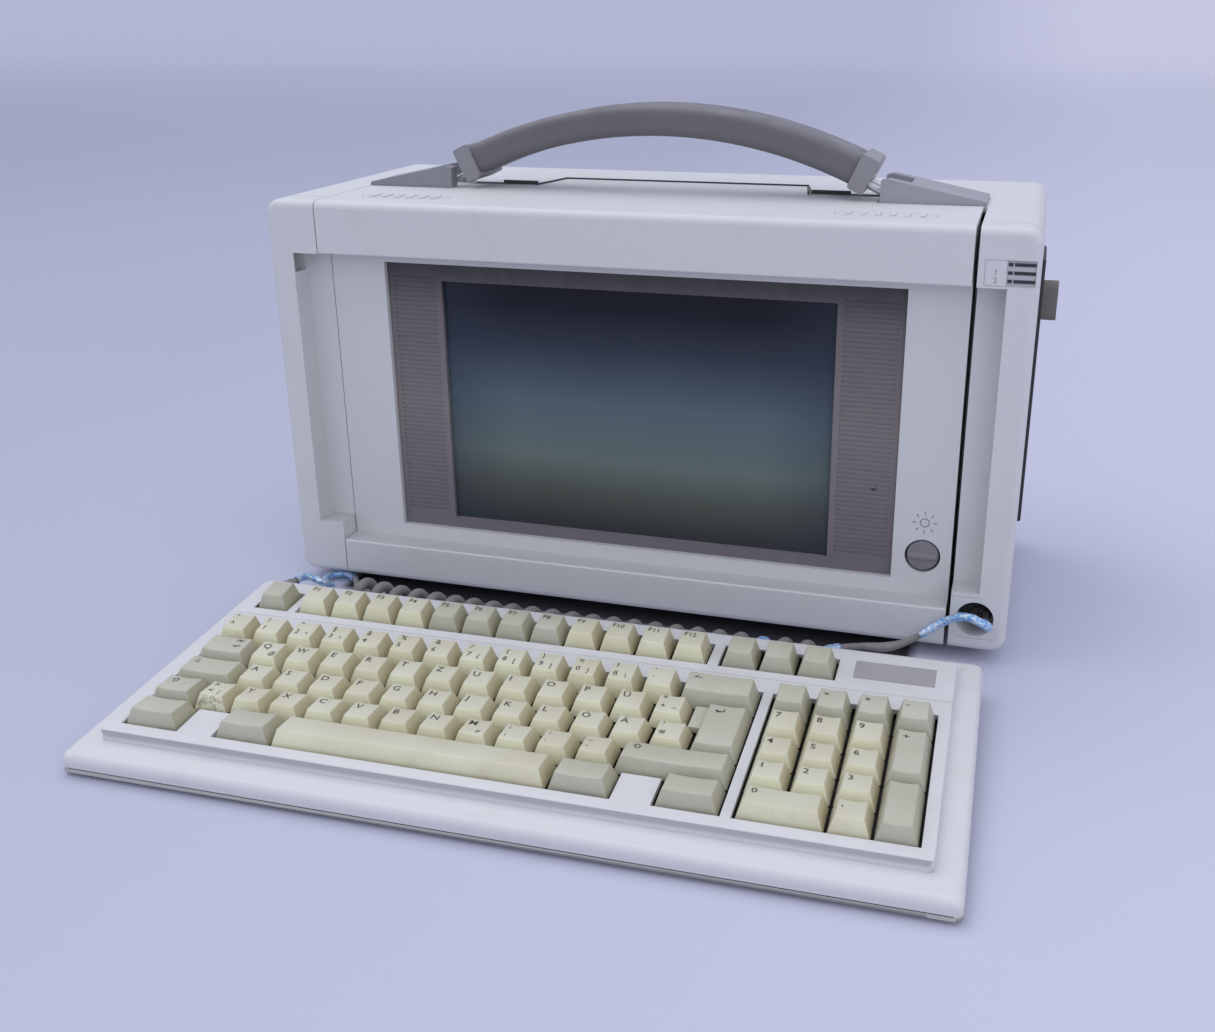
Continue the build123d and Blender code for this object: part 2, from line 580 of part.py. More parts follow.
def brightness_knob():
    y0 = BEZEL_RECESS - KNOB_PROUD
    disc = rod_y(KNOB_RADIUS, KNOB_X, y0 + KNOB_PROUD, BEZEL_BACK, KNOB_Z)
    bar = block(KNOB_X - KNOB_RADIUS + 0.9, KNOB_X + KNOB_RADIUS - 0.9, y0, y0 + KNOB_PROUD + 0.5,
                KNOB_Z - KNOB_BAR / 2, KNOB_Z + KNOB_BAR / 2)
    stem = rod_y(KNOB_STEM, KNOB_X, BEZEL_BACK, DISPLAY_BOARD_Y - SLIDE_CLEARANCE, KNOB_Z)
    return fused([disc, bar, stem])


def release_button(x):
    pad = along_z(Pos(x, RELEASE_Y) * SlotOverall(RELEASE_LENGTH, RELEASE_WIDTH),
                  CASE_TOP - BEZEL_WALL, CASE_TOP)
    step = (RELEASE_LENGTH - 14) / (RELEASE_RIBS - 1)
    ribs = [block(x - (RELEASE_LENGTH - 14) / 2 + k * step - 1.2,
                  x - (RELEASE_LENGTH - 14) / 2 + k * step + 1.2,
                  RELEASE_Y - 5, RELEASE_Y + 5, CASE_TOP, CASE_TOP + 0.8)
            for k in range(RELEASE_RIBS)]
    stem = rod_z(RELEASE_STEM / 2, x, RELEASE_Y, CASE_TOP - 12, CASE_TOP - BEZEL_WALL)
    return fused([pad, stem] + ribs)


# ------------------------------------------------------------------ arms, chassis, inside
def display_arms():
    y, z = ARM_FOOT
    arms = []
    for side in (-1, 1):
        x0, x1 = side * ARM_X - ARM_SHEET / 2, side * ARM_X + ARM_SHEET / 2
        arm = block(x0, x1, y - ARM_WIDTH / 2, y + ARM_WIDTH / 2, z, z + ARM_LENGTH)
        arm += rod_x(ARM_WIDTH / 2, x0, x1, y, z)
        arm += rod_x(ARM_WIDTH / 2, x0, x1, y, z + ARM_LENGTH)
        outer = side * (ARM_X + ARM_SHEET / 2)
        a, b = sorted((outer, outer + side * (LUG_GAP + LUG_SHEET)))
        arms.append(arm + rod_x(STUB_RADIUS, a, b, y, z + ARM_LENGTH))
    shaft = rod_x(SHAFT_RADIUS, -ARM_X, ARM_X, y, z)
    return fused([shaft] + arms)


def chassis_plate():
    y, z = ARM_FOOT
    z += ARM_LENGTH
    plate = block(-CASE_HALF + 8, CASE_HALF - 8, CHASSIS_Y, CHASSIS_Y + CHASSIS_SHEET,
                  INNER_FLOOR, CASE_TOP - 3 * SHELL_WALL)
    plate -= block(-60, 60, CHASSIS_Y - 1, CHASSIS_Y + 3, 60, 170)
    pieces = [plate]
    for side in (-1, 1):
        inner = ARM_X + ARM_SHEET / 2 + LUG_GAP
        x0, x1 = sorted((side * inner, side * (inner + LUG_SHEET)))
        lug = block(x0, x1, y, CHASSIS_Y, z - 9, z + 9) + rod_x(9, x0, x1, y, z)
        pieces.append(lug - rod_x(STUB_RADIUS + RUNNING_FIT, x0 - 1, x1 + 1, y, z))
    back = CHASSIS_Y + CHASSIS_SHEET
    pieces.append(block(CASE_HALF - SHELL_WALL - FLOPPY_LENGTH, CASE_HALF - 8, back,
                        FLOPPY_Y + FLOPPY_THICKNESS / 2, DRIVE_SHELF_Z, DRIVE_SHELF_Z + CHASSIS_SHEET))
    x0, x1, y0, y1 = HARD_DRIVE
    pieces.append(block(x0, x1, back, y1, HARD_DRIVE_SHELF_Z, HARD_DRIVE_SHELF_Z + CHASSIS_SHEET))
    return fused(pieces)


def main_board():
    x0, x1, y0, y1 = MAIN_BOARD
    z = INNER_FLOOR + STANDOFF
    pieces = [block(x0, x1, y0, y1, z, z + BOARD_SHEET)]
    top = z + BOARD_SHEET
    for k in range(6):
        chip = x0 + 10 + k * CHIP_STEP
        pieces.append(block(chip, chip + CHIP_WIDTH, y0 + 8, y0 + 40, top, top + 4))
    pieces.append(block(x1 - 70, x1 - 30, y0 + 10, y0 + 50, top, top + 6))
    return fused(pieces)


def port(x0, x1):
    shell = block(x0, x1, CASE_DEPTH - 16, CASE_DEPTH - 0.5, PORT_BOTTOM, PORT_BOTTOM + PORT_HEIGHT)
    well = block(x0 + 4, x1 - 4, CASE_DEPTH - 7, CASE_DEPTH, PORT_BOTTOM + 2.5,
                 PORT_BOTTOM + PORT_HEIGHT - 2)
    tongue = block(x0 + 5.5, x1 - 5.5, CASE_DEPTH - 7, CASE_DEPTH - 2, PORT_BOTTOM + 4.3,
                   PORT_BOTTOM + PORT_HEIGHT - 4)
    return shell - well + tongue


def power_inlet():
    x0, x1 = INLET_X
    z0, z1 = INLET_Z
    shell = block(x0, x1, SUPPLY[3], CASE_DEPTH - 0.3, z0, z1)
    shell -= block(x0 + 3, x1 - 3, CASE_DEPTH - 16, CASE_DEPTH, z0 + 3, z1 - 3)
    pins = [block((x0 + x1) / 2 + dx - 1, (x0 + x1) / 2 + dx + 1, CASE_DEPTH - 16, CASE_DEPTH - 4,
                  (z0 + z1) / 2 - 2, (z0 + z1) / 2 + 2) for dx in (-7, 0, 7)]
    return fused([shell] + pins)


def fan_frame():
    y1 = CASE_DEPTH - SHELL_WALL
    y0 = y1 - FAN_DEPTH
    half = FAN_SIZE / 2
    frame = block(FAN_X - half, FAN_X + half, y0, y1, FAN_Z - half, FAN_Z + half)
    frame -= rod_y(FAN_BORE, FAN_X, y0 - 1, y1 + 1, FAN_Z)
    struts = [block(FAN_X - FAN_BORE - 1, FAN_X + FAN_BORE + 1, y0, y0 + 3, FAN_Z - 2.5, FAN_Z + 2.5),
              block(FAN_X - 2.5, FAN_X + 2.5, y0, y0 + 3, FAN_Z - FAN_BORE - 1, FAN_Z + FAN_BORE + 1),
              rod_y(FAN_HUB, FAN_X, y0, y0 + 3, FAN_Z)]
    frame = frame.fuse(*struts)
    return frame - rod_y(2.0 + RUNNING_FIT, FAN_X, y0 - 1, y0 + 4, FAN_Z)


def fan_rotor():
    y0 = CASE_DEPTH - SHELL_WALL - FAN_DEPTH
    hub = rod_y(FAN_HUB, FAN_X, y0 + 4, y0 + 20, FAN_Z)
    shaft = rod_y(2.0, FAN_X, y0, y0 + 4, FAN_Z)
    reach = FAN_BORE - FAN_TIP_GAP
    blade = Box(reach - FAN_HUB + 2, 1.6, 15)
    blade = Pos((reach + FAN_HUB - 2) / 2, 0, 0) * Rot(52, 0, 0) * blade
    blades = [Pos(FAN_X, y0 + 12, FAN_Z) * Rot(90, 0, 0) * Rot(0, 0, 360 / FAN_BLADES * k)
              * Rot(90, 0, 0) * Rot(-90, 0, 0) * blade for k in range(FAN_BLADES)]
    trim = rod_y(reach, FAN_X, y0 + 3.6, y0 + 22, FAN_Z)
    return fused([hub, shaft] + [b & trim for b in blades])


def floppy_drive():
    x1 = CASE_HALF
    x0 = x1 - SHELL_WALL - FLOPPY_LENGTH
    half = FLOPPY_THICKNESS / 2
    z0 = DRIVE_SHELF_Z + CHASSIS_SHEET
    z1 = z0 + FLOPPY_HEIGHT
    body = block(x0, x1, FLOPPY_Y - half, FLOPPY_Y + half, z0, z1)
    lap = BEZEL_LAP
    bezel = block(x1, x1 + BEZEL_PROUD, FLOPPY_Y - half - lap, FLOPPY_Y + half + lap, z0 - lap, z1 + lap)
    bezel = fillet(bezel.faces().sort_by(Axis.X)[-1].edges(), 1.0)
    drive = body + bezel
    slot_z = z0 + 6
    drive -= block(x0 + 20, x1 + 5, FLOPPY_Y - DISK_SLOT / 2, FLOPPY_Y + DISK_SLOT / 2,
                   slot_z, slot_z + DISK_SLOT_LENGTH)
    drive -= rod_x(LEVER_PIVOT_RADIUS + RUNNING_FIT, x1 - 8, x1 + 5, FLOPPY_Y, LEVER_Z)
    return drive


def floppy_lever():
    x0 = CASE_HALF + BEZEL_PROUD + 0.2
    x1 = CASE_HALF + LEVER_PROUD + BEZEL_PROUD
    bar = Pos(FLOPPY_Y, LEVER_Z) * SlotOverall(LEVER_LENGTH, LEVER_WIDTH, rotation=90)
    bar = along_x(bar, x0, x1)
    pivot = rod_x(LEVER_PIVOT_RADIUS, CASE_HALF - 7.5, x0, FLOPPY_Y, LEVER_Z)
    return bar + pivot


def power_switch():
    x = CASE_HALF - SWITCH_RADIUS + 1.5
    rocker = rod_y(SWITCH_RADIUS, x, SWITCH_Y - SWITCH_WIDTH / 2, SWITCH_Y + SWITCH_WIDTH / 2, SWITCH_Z)
    y0, y1 = SWITCH_Y - SWITCH_WIDTH / 2 - 1, SWITCH_Y + SWITCH_WIDTH / 2 + 1
    notch = along_y(outline((x + SWITCH_RADIUS - 1.6, SWITCH_Z), (x + SWITCH_RADIUS + 1, SWITCH_Z + 8),
                            (x + SWITCH_RADIUS + 1, SWITCH_Z - 8)), y0, y1)
    rocker -= Pos(x, 0, SWITCH_Z) * Rot(0, SWITCH_SET, 0) * Pos(-x, 0, -SWITCH_Z) * notch
    rocker -= block(x - SWITCH_RADIUS - 1, x - 3, y0, y1, SWITCH_Z - 9, SWITCH_Z + 9)
    half = SWITCH_WIDTH / 2 + SWITCH_GAP + 2.0
    return rocker + rod_y(SWITCH_PIN, x, SWITCH_Y - half, SWITCH_Y + half, SWITCH_Z)


# ------------------------------------------------------------------ handle
GRIP_MIDDLE = GRIP_APEX - GRIP_THICKNESS / 2
BEND_RADIUS = (GRIP_REACH ** 2 + GRIP_RISE ** 2) / (2 * GRIP_RISE)
BEND_Z = GRIP_MIDDLE - BEND_RADIUS
GRIP_ANGLE = asin(GRIP_REACH / BEND_RADIUS)
FERRULE_ANGLE = FERRULE_LENGTH / BEND_RADIUS


def bent_bar(start, end, thickness, width):
    """Bar of the handle's curve between two angles from its top."""
    def at(radius, angle):
        return (HANDLE_X + radius * sin(angle), BEND_Z + radius * cos(angle))
    outer = BEND_RADIUS + thickness / 2
    inner = BEND_RADIUS - thickness / 2
    middle = (start + end) / 2
    edges = [ThreePointArc(at(outer, start), at(outer, middle), at(outer, end)),
             Line(at(outer, end), at(inner, end)),
             ThreePointArc(at(inner, end), at(inner, middle), at(inner, start)),
             Line(at(inner, start), at(outer, start))]
    return along_y(make_face(edges), HANDLE_Y - width / 2, HANDLE_Y + width / 2)


def strap_slot(start, end):
    return bent_bar(start, end, STRAP_THICKNESS + 2 * STRAP_CLEARANCE, STRAP_WIDTH + 2 * STRAP_CLEARANCE)


def handle_grip():
    grip = bent_bar(-GRIP_ANGLE, GRIP_ANGLE, GRIP_THICKNESS, GRIP_WIDTH)
    long_edges = [e for e in grip.edges() if e.length > GRIP_REACH]
    grip = fillet(long_edges, GRIP_THICKNESS * 0.3)
    return grip - strap_slot(-1.1 * GRIP_ANGLE, 1.1 * GRIP_ANGLE)


def handle_ferrules():
    size = GRIP_THICKNESS + 2 * FERRULE_PROUD
    width = GRIP_WIDTH + 2 * FERRULE_PROUD
    ferrules = []
    for side in (-1, 1):
        a, b = sorted((side * GRIP_ANGLE, side * (GRIP_ANGLE + FERRULE_ANGLE)))
        ferrule = bent_bar(a, b, size, width)
        ferrule = fillet(ferrule.edges().filter_by(Axis.Y), 1.5)
        ferrules.append(ferrule - strap_slot(a - 0.01, b + 0.01))
    return group(ferrules)


def handle_strap():
    end = GRIP_ANGLE + FERRULE_ANGLE
    return bent_bar(-end, end, STRAP_THICKNESS, STRAP_WIDTH)


def handle_links():
    end = GRIP_ANGLE + FERRULE_ANGLE
    links = []
    for side in (-1, 1):
        for spread in (-LINK_SPREAD, LINK_SPREAD):
            drop = BEND_RADIUS - 4.5
            x = HANDLE_X + side * drop * sin(end)
            z = BEND_Z + drop * cos(end)
            plane = Plane(origin=(x, HANDLE_Y + spread, z), z_dir=(side * cos(end), 0, -sin(end)))
            links.append(extrude(plane * Circle(LINK_RADIUS), amount=LINK_LENGTH))
    return group(links)


def handle_bracket(side):
    inner, outer = HANDLE_X + side * BRACKET_INNER, side * BRACKET_OUTER
    y0, y1 = HANDLE_Y - BRACKET_WIDTH / 2, HANDLE_Y + BRACKET_WIDTH / 2
    wedge = along_y(outline((inner, CASE_TOP), (outer, CASE_TOP), (outer, CASE_TOP + BRACKET_TOE),
                            (inner + side * 4, CASE_TOP + BRACKET_HEIGHT),
                            (inner, CASE_TOP + BRACKET_HEIGHT - 1)), y0, y1)
    x0, x1 = sorted((inner - side, inner + side * CLEVIS_DEPTH))
    half = LINK_SPREAD + LINK_RADIUS + LINK_SIDE_GAP
    slot = block(x0, x1, HANDLE_Y - half, HANDLE_Y + half, CASE_TOP, CASE_TOP + 2 * BRACKET_HEIGHT)
    return wedge - slot


# ------------------------------------------------------------------ keyboard
def keyboard_rest(shape):
    """Keyboard frame to the object's frame, keyboard standing on its pads and feet."""
    place = Pos(KEYBOARD_X, KEYBOARD_Y, KEYBOARD_Z) * Rot(0, 0, KEYBOARD_TURN) * Rot(KEYBOARD_TILT, 0, 0)
    return place * shape


KEYBOARD_Z = PAD_HEIGHT * cos(radians(KEYBOARD_TILT)) - (PAD_D - PAD_RADIUS) * sin(radians(KEYBOARD_TILT))
TONGUE_BOTTOM = DECK_HEIGHT - TONGUE_COVER - TONGUE_HEIGHT
STOWED_TOP = HOOD_Z - STOWED_GAP + DECK_FRONT    # palm edge's height with the keyboard closed
STOWED_Y = -STOWED_FACE_GAP - FLANGE_HEIGHT
DISPLAY_BOARD_Y = BEZEL_BACK + FRAME_SHEET + GLASS_SHEET + PANEL_DEPTH + BOARD_GAP

# each key: left edge and front edge in key pitches, width and depth in pitches, row profile
ROW_HEIGHT = {"control": 6.6, "lower": 6.2, "home": 5.2, "upper": 5.9, "number": 7.4, "function": 7.0}
ROW_SLOPE = {"control": 1.2, "lower": 1.0, "home": 0.2, "upper": -0.6, "number": -1.4, "function": -1.2}


def run_of_keys(left, front, count, row, width=1.0):
    return [(left + k * width, front, width, 1.0, row) for k in range(count)]


def main_keys():
    return {
        "keys_numbers": run_of_keys(0, 4, 13, "number"),
        "keys_upper": run_of_keys(1.5, 3, 12, "upper"),
        "keys_home": run_of_keys(1.75, 2, 12, "home"),
        "keys_lower": run_of_keys(1.25, 1, 11, "lower"),
        "keys_control": [(13, 4, 2, 1, "number"), (0, 3, 1.5, 1, "upper"), (0, 2, 1.75, 1, "home"),
                         (0, 1, 1.25, 1, "lower"), (12.25, 1, 2.75, 1, "lower"),
                         (0, 0, 1.5, 1, "control"), (2.5, 0, 1.5, 1, "control"),
                         (11, 0, 1.5, 1, "control"), (13.5, 0, 1.5, 1, "control")],
        "space_bar": [(4, 0, 7, 1, "control")],
        "enter_key": [(13.75, 2, 1.25, 2, "home")],
    }


def keypad_keys():
    return ([(k, 4, 1, 1, "number") for k in range(4)] + [(k, 3, 1, 1, "upper") for k in range(3)]
            + [(k, 2, 1, 1, "home") for k in range(3)] + [(k, 1, 1, 1, "lower") for k in range(3)]
            + [(3, 2, 1, 2, "home"), (3, 0, 1, 2, "control"), (0, 0, 2, 1, "control"),
               (2, 0, 1, 1, "control")])


def key_cap(left, front, width, depth, row):
    """One key cap with its stem; left and front are millimetres, width and depth pitches."""
    gap = KEY_GAP / 2
    x0, x1 = left + gap, left + width * KEY_PITCH - gap
    d0, d1 = front + gap, front + depth * KEY_PITCH - gap
    z_front = DECK_HEIGHT + ROW_HEIGHT[row]
    rise = ROW_SLOPE[row] * depth
    top_d0, top_d1 = d0 + KEY_FRONT_SLOPE, d1 - KEY_REAR_SLOPE
    top_x0, top_x1 = x0 + KEY_SIDE_SLOPE, x1 - KEY_SIDE_SLOPE
    bottom = Face(Wire.make_polygon([(x0, d0, SKIRT_BOTTOM), (x1, d0, SKIRT_BOTTOM),
                                     (x1, d1, SKIRT_BOTTOM), (x0, d1, SKIRT_BOTTOM)]))
    top = Face(Wire.make_polygon([(top_x0, top_d0, z_front), (top_x1, top_d0, z_front),
                                  (top_x1, top_d1, z_front - rise), (top_x0, top_d1, z_front - rise)]))
    cap = loft([bottom, top], ruled=True)
    if width <= 3 and row != "space":
        half = (top_x1 - top_x0) / 2
        radius = (half ** 2 + KEY_DISH_DEPTH ** 2) / (2 * KEY_DISH_DEPTH)
        length = (top_d1 - top_d0) + 20
        tilt = degrees(asin(-rise / (top_d1 - top_d0)))
        centre = Pos((top_x0 + top_x1) / 2, (top_d0 + top_d1) / 2, z_front - rise / 2)
        dish = centre * Rot(tilt, 0, 0) * Pos(0, 0, radius - KEY_DISH_DEPTH) * Rot(90, 0, 0)
        cap -= dish * Cylinder(radius, length)
    stem_x, stem_d = (x0 + x1) / 2, (d0 + d1) / 2
    half = STEM_SIZE / 2
    return cap + block(stem_x - half, stem_x + half, stem_d - half, stem_d + half,
                       STEM_BOTTOM, SKIRT_BOTTOM)


def in_millimetres(keys, left, front):
    return [(left + x * KEY_PITCH, front + d * KEY_PITCH, w, dep, row) for x, d, w, dep, row in keys]


def all_keys():
    rows = {name: in_millimetres(keys, KEYS_LEFT, KEYS_FRONT) for name, keys in main_keys().items()}
    rows["keypad_keys"] = in_millimetres(keypad_keys(), KEYPAD_LEFT, KEYS_FRONT)
    row = "function"
    function = [(KEYS_LEFT, FUNCTION_FRONT, 1, 1, row)]
    function += in_millimetres(run_of_keys(0, 0, 12, row), FUNCTION_LEFT, FUNCTION_FRONT)
    function += in_millimetres(run_of_keys(0, 0, 3, row), SYSTEM_LEFT, FUNCTION_FRONT)
    rows["keys_function"] = function
    return rows


def key_openings(z0, z1):
    def opening(left, front, width, depth):
        m = OPENING_MARGIN
        return block(left - m, left + width * KEY_PITCH + m, front - m, front + depth * KEY_PITCH + m, z0, z1)
    main = opening(KEYS_LEFT, KEYS_FRONT + KEY_PITCH, 15, 4)
    cuts = [main]
    for first, width in ((0, 1.5), (2.5, 10), (13.5, 1.5)):
        cuts.append(opening(KEYS_LEFT + first * KEY_PITCH, KEYS_FRONT, width, 1.2))
    cuts.append(opening(KEYPAD_LEFT, KEYS_FRONT, 4, 5))
    cuts.append(opening(KEYS_LEFT, FUNCTION_FRONT, 1, 1))
    cuts.append(opening(FUNCTION_LEFT, FUNCTION_FRONT, 12, 1))
    cuts.append(opening(SYSTEM_LEFT, FUNCTION_FRONT, 3, 1))
    return cuts


def slab(width, d0, d1, h0, h1, corner):
    shape = Pos(0, (d0 + d1) / 2) * RectangleRounded(width, d1 - d0, corner)
    return along_z(shape, h0, h1)


def tongue_slot(side, clearance):
    half = DECK_WIDTH / 2
    x0, x1 = sorted((side * (half - TONGUE_GUIDE), side * (half + 1)))
    h = TONGUE_BOTTOM
    return block(x0, x1, TONGUE_D - TONGUE_WIDTH / 2 - clearance, TONGUE_D + TONGUE_WIDTH / 2 + clearance,
                 h - clearance, h + TONGUE_HEIGHT + clearance)


def keyboard_top():
    flange = slab(KEYBOARD_WIDTH, 0, KEYBOARD_DEPTH, BASE_HEIGHT, FLANGE_HEIGHT, KEYBOARD_CORNER)
    flange = fillet(flange.faces().sort_by(Axis.Z)[-1].edges(), PALM_ROUNDING)
    deck = slab(DECK_WIDTH, DECK_FRONT, DECK_REAR, FLANGE_HEIGHT - 1, DECK_HEIGHT, 2.0)
    deck = fillet(deck.faces().sort_by(Axis.Z)[-1].edges(), 0.8)
    shell = flange + deck
    wall = KEYBOARD_WALL
    shell -= slab(KEYBOARD_WIDTH - 4 * wall, 2 * wall, KEYBOARD_DEPTH - 2 * wall, BASE_HEIGHT - 1,
                  FLANGE_HEIGHT - wall, KEYBOARD_CORNER - 2 * wall)
    shell -= slab(DECK_WIDTH - 2 * wall, DECK_FRONT + wall, DECK_REAR - wall,
                  FLANGE_HEIGHT - wall - 1, DECK_HEIGHT - wall, 1.0)
    cuts = key_openings(DECK_HEIGHT - wall - 1, DECK_HEIGHT + 1)
    cuts += [tongue_slot(side, SLIDE_CLEARANCE) for side in (-1, 1)]
    cuts.append(block(*BADGE_X, *BADGE_D, DECK_HEIGHT - BADGE_SHEET + BADGE_PROUD, DECK_HEIGHT + 1))
    half = DECK_WIDTH / 2
    cuts.append(block(-half - 1, half + 1, GROOVE_D, GROOVE_D + GROOVE, DECK_HEIGHT - GROOVE, DECK_HEIGHT + 1))
    cuts.append(along_y(Pos(GLAND_X, GLAND_H) * Circle(GLAND_RADIUS + RUNNING_FIT),
                        KEYBOARD_DEPTH - 3 * wall, KEYBOARD_DEPTH + 1))
    return shell.cut(*cuts)


def keyboard_base():
    base = slab(KEYBOARD_WIDTH, 0, KEYBOARD_DEPTH, 0, BASE_HEIGHT, KEYBOARD_CORNER)
    base = fillet(base.faces().sort_by(Axis.Z)[0].edges(), 1.5)
    wall = KEYBOARD_WALL
    base -= slab(KEYBOARD_WIDTH - 4 * wall, 2 * wall, KEYBOARD_DEPTH - 2 * wall, BASE_FLOOR,
                 BASE_HEIGHT + 1, KEYBOARD_CORNER - 2 * wall)
    d, h = FOOT_HINGE
    length = foot_length()
    for side in (-1, 1):
        x = side * FOOT_X
        half = FOOT_WIDTH / 2
        box = block(x - half - 2.5, x + half + 2.5, d - length - 4, d + 5, BASE_FLOOR - 0.5, FOOT_POCKET + 1.5)
        pocket = block(x - half - SLIDE_CLEARANCE, x + half + SLIDE_CLEARANCE, d - length - 2, d + 3,
                       -1, FOOT_POCKET)
        base = base + box - pocket
        base -= rod_x(FOOT_PIN + RUNNING_FIT, x - half - 1.8, x + half + 1.8, d, h)
    base -= along_y(Pos(GLAND_X, GLAND_H) * Circle(GLAND_RADIUS + RUNNING_FIT),
                    KEYBOARD_DEPTH - 3 * wall, KEYBOARD_DEPTH + 1)
    return base


def foot_length():
    """From a foot's hinge to its sole, whose front edge stands on the table at rest."""
    d, h = FOOT_HINGE
    tilt = radians(KEYBOARD_TILT)
    return h + (KEYBOARD_Z + (d - FOOT_SHEET / 2) * sin(tilt)) / cos(tilt)


def keyboard_foot(side):
    d, h = FOOT_HINGE
    x = side * FOOT_X
    half = FOOT_WIDTH / 2
    tip = FOOT_SHEET / 2
    leg = block(x - half, x + half, d - tip, d + tip, h - foot_length(), h)
    leg += rod_x(tip, x - half, x + half, d, h)
    return leg + rod_x(FOOT_PIN, x - half - 1.6, x + half + 1.6, d, h)


def keyboard_pads():
    return group([rod_z(PAD_RADIUS, x, PAD_D, -PAD_HEIGHT, 0) for x in (-170, -60, 60, 170)])


def key_plate():
    half = DECK_WIDTH / 2 - KEYBOARD_WALL - STEM_CLEARANCE
    edge = KEYBOARD_WALL + STEM_CLEARANCE
    plate = slab(2 * half, DECK_FRONT + edge, DECK_REAR - edge, PLATE_BOTTOM,
                 PLATE_BOTTOM + PLATE_SHEET, 2.0)
    holes = []
    for keys in all_keys().values():
        for left, front, width, depth, row in keys:
            x = left + width * KEY_PITCH / 2
            d = front + depth * KEY_PITCH / 2
            h = STEM_SIZE / 2 + STEM_CLEARANCE
            holes.append(block(x - h, x + h, d - h, d + h, PLATE_BOTTOM - 1, PLATE_BOTTOM + 3))
    return plate.cut(*holes)


def keyboard_board():
    half = DECK_WIDTH / 2 - 2 * KEYBOARD_WALL
    return block(-half, half, DECK_FRONT + 5, KEYBOARD_BOARD_REAR, BASE_FLOOR,
                 BASE_FLOOR + KEYBOARD_BOARD_SHEET)


def keyboard_latch(side):
    half = DECK_WIDTH / 2
    x0, x1 = sorted((side * (half - TONGUE_LENGTH), side * (half - 0.2)))
    h = TONGUE_BOTTOM
    return block(x0, x1, TONGUE_D - TONGUE_WIDTH / 2, TONGUE_D + TONGUE_WIDTH / 2, h, h + TONGUE_HEIGHT)


def keyboard_badge():
    c = RUNNING_FIT
    return block(BADGE_X[0] + c, BADGE_X[1] - c, BADGE_D[0] + c, BADGE_D[1] - c,
                 DECK_HEIGHT - BADGE_SHEET + BADGE_PROUD, DECK_HEIGHT + BADGE_PROUD)


def keyboard_gland():
    body = along_y(Pos(GLAND_X, GLAND_H) * Circle(GLAND_RADIUS), KEYBOARD_DEPTH - 6, KEYBOARD_DEPTH)
    nose = Plane(origin=(GLAND_X, KEYBOARD_DEPTH, GLAND_H), z_dir=(0, 1, 0))
    tip = Plane(origin=(GLAND_X, KEYBOARD_DEPTH + GLAND_LENGTH, GLAND_H), z_dir=(0, 1, 0))
    cone = loft([nose * Circle(GLAND_RADIUS - 0.5), tip * Circle(CORD_DIAMETER / 2 + 0.5)])
    return body + cone


# ------------------------------------------------------------------ cord
def coil_middle(x):
    """The curly stretch's own centre line, on the table along the keyboard's rear edge."""
    from_right = COIL_LEFT + COIL_TURNS * COIL_PITCH - x
    share = from_right / (COIL_TURNS * COIL_PITCH)
    y = COIL_Y_RIGHT - from_right * tan(radians(KEYBOARD_TURN)) + COIL_BOW * share ** 5
    return Vector(x, y, COIL_RADIUS + CORD_DIAMETER / 2 + COIL_FLOOR_GAP)


def coil_point(angle):
    """Point of the wire after turning through angle (radians), starting at the bottom."""
    x = COIL_LEFT + COIL_PITCH * angle / (2 * pi)
    return coil_middle(x) + Vector(0, -sin(angle), -cos(angle)) * COIL_RADIUS


def coil_tangent(angle):
    step = 1e-4
    return (coil_point(angle + step) - coil_point(angle - step)).normalized()


def biarc(p0, t0, p1, t1):
    """Two tangent arcs from p0 along t0 to p1 along t1."""
    v = p1 - p0
    t = t0 + t1
    a = 2 * (1 - t0.dot(t1))
    b = 2 * v.dot(t)
    c = -v.dot(v)
    d = (-b + sqrt(b * b - 4 * a * c)) / (2 * a) if abs(a) > 1e-9 else -c / b
    joint = (p0 + t0 * d + p1 - t1 * d) * 0.5
    return [Edge.make_tangent_arc(p0, t0, joint),
            Edge.make_tangent_arc(p1, t1 * -1, joint)]


def coil_end(angle, sign):
    """End of the straight tail that the coil starts or finishes with."""
    return coil_point(angle) + coil_tangent(angle) * (sign * CORD_DIAMETER)


COIL_LAST = 2 * pi * (COIL_TURNS - 0.5)


def cord_coil():
    steps = 4 * COIL_TURNS - 2
    angles = [COIL_LAST * k / steps for k in range(steps + 1)]
    edges = [Line(coil_end(0, -1), coil_point(0))]
    for a, b in zip(angles, angles[1:]):
        edges += biarc(coil_point(a), coil_tangent(a), coil_point(b), coil_tangent(b))
    edges.append(Line(coil_point(COIL_LAST), coil_end(COIL_LAST, 1)))
    path = Wire(edges)
    start = Plane(origin=coil_end(0, -1), z_dir=coil_tangent(0))
    tube = sweep(start * Circle(CORD_DIAMETER / 2), path=path)
    gap = min((coil_point(k * pi / 12) - coil_point(k * pi / 12 + 2 * pi)).length for k in range(24))
    print("coil: wire", round(path.length, 1), "mm, gap between turns", round(gap - CORD_DIAMETER, 2))
    check_tube("cord_coil", tube, path.length)
    return tube


def check_tube(name, tube, length):
    ideal = pi * CORD_DIAMETER ** 2 / 4 * length
    print(name, "length", round(length, 1), "volume / (section x length)", round(tube.volume / ideal, 4))


def cord_tube(name, points):
    points = [Vector(*p) for p in points]
    radii = []
    for a, b, c in zip(points, points[1:], points[2:]):
        turn = radians((b - a).get_angle(c - b))
        shorter = min((b - a).length, (c - b).length)
        radii.append(0.45 * shorter / tan(turn / 2))
    print(name, "radii", [round(r, 1) for r in radii])
    path = FilletPolyline(*points, radius=radii)
    start = Plane(origin=points[0], z_dir=(points[1] - points[0]).normalized())
    tube = sweep(start * Circle(CORD_DIAMETER / 2), path=path)
    check_tube(name, tube, path.length)
    return tube


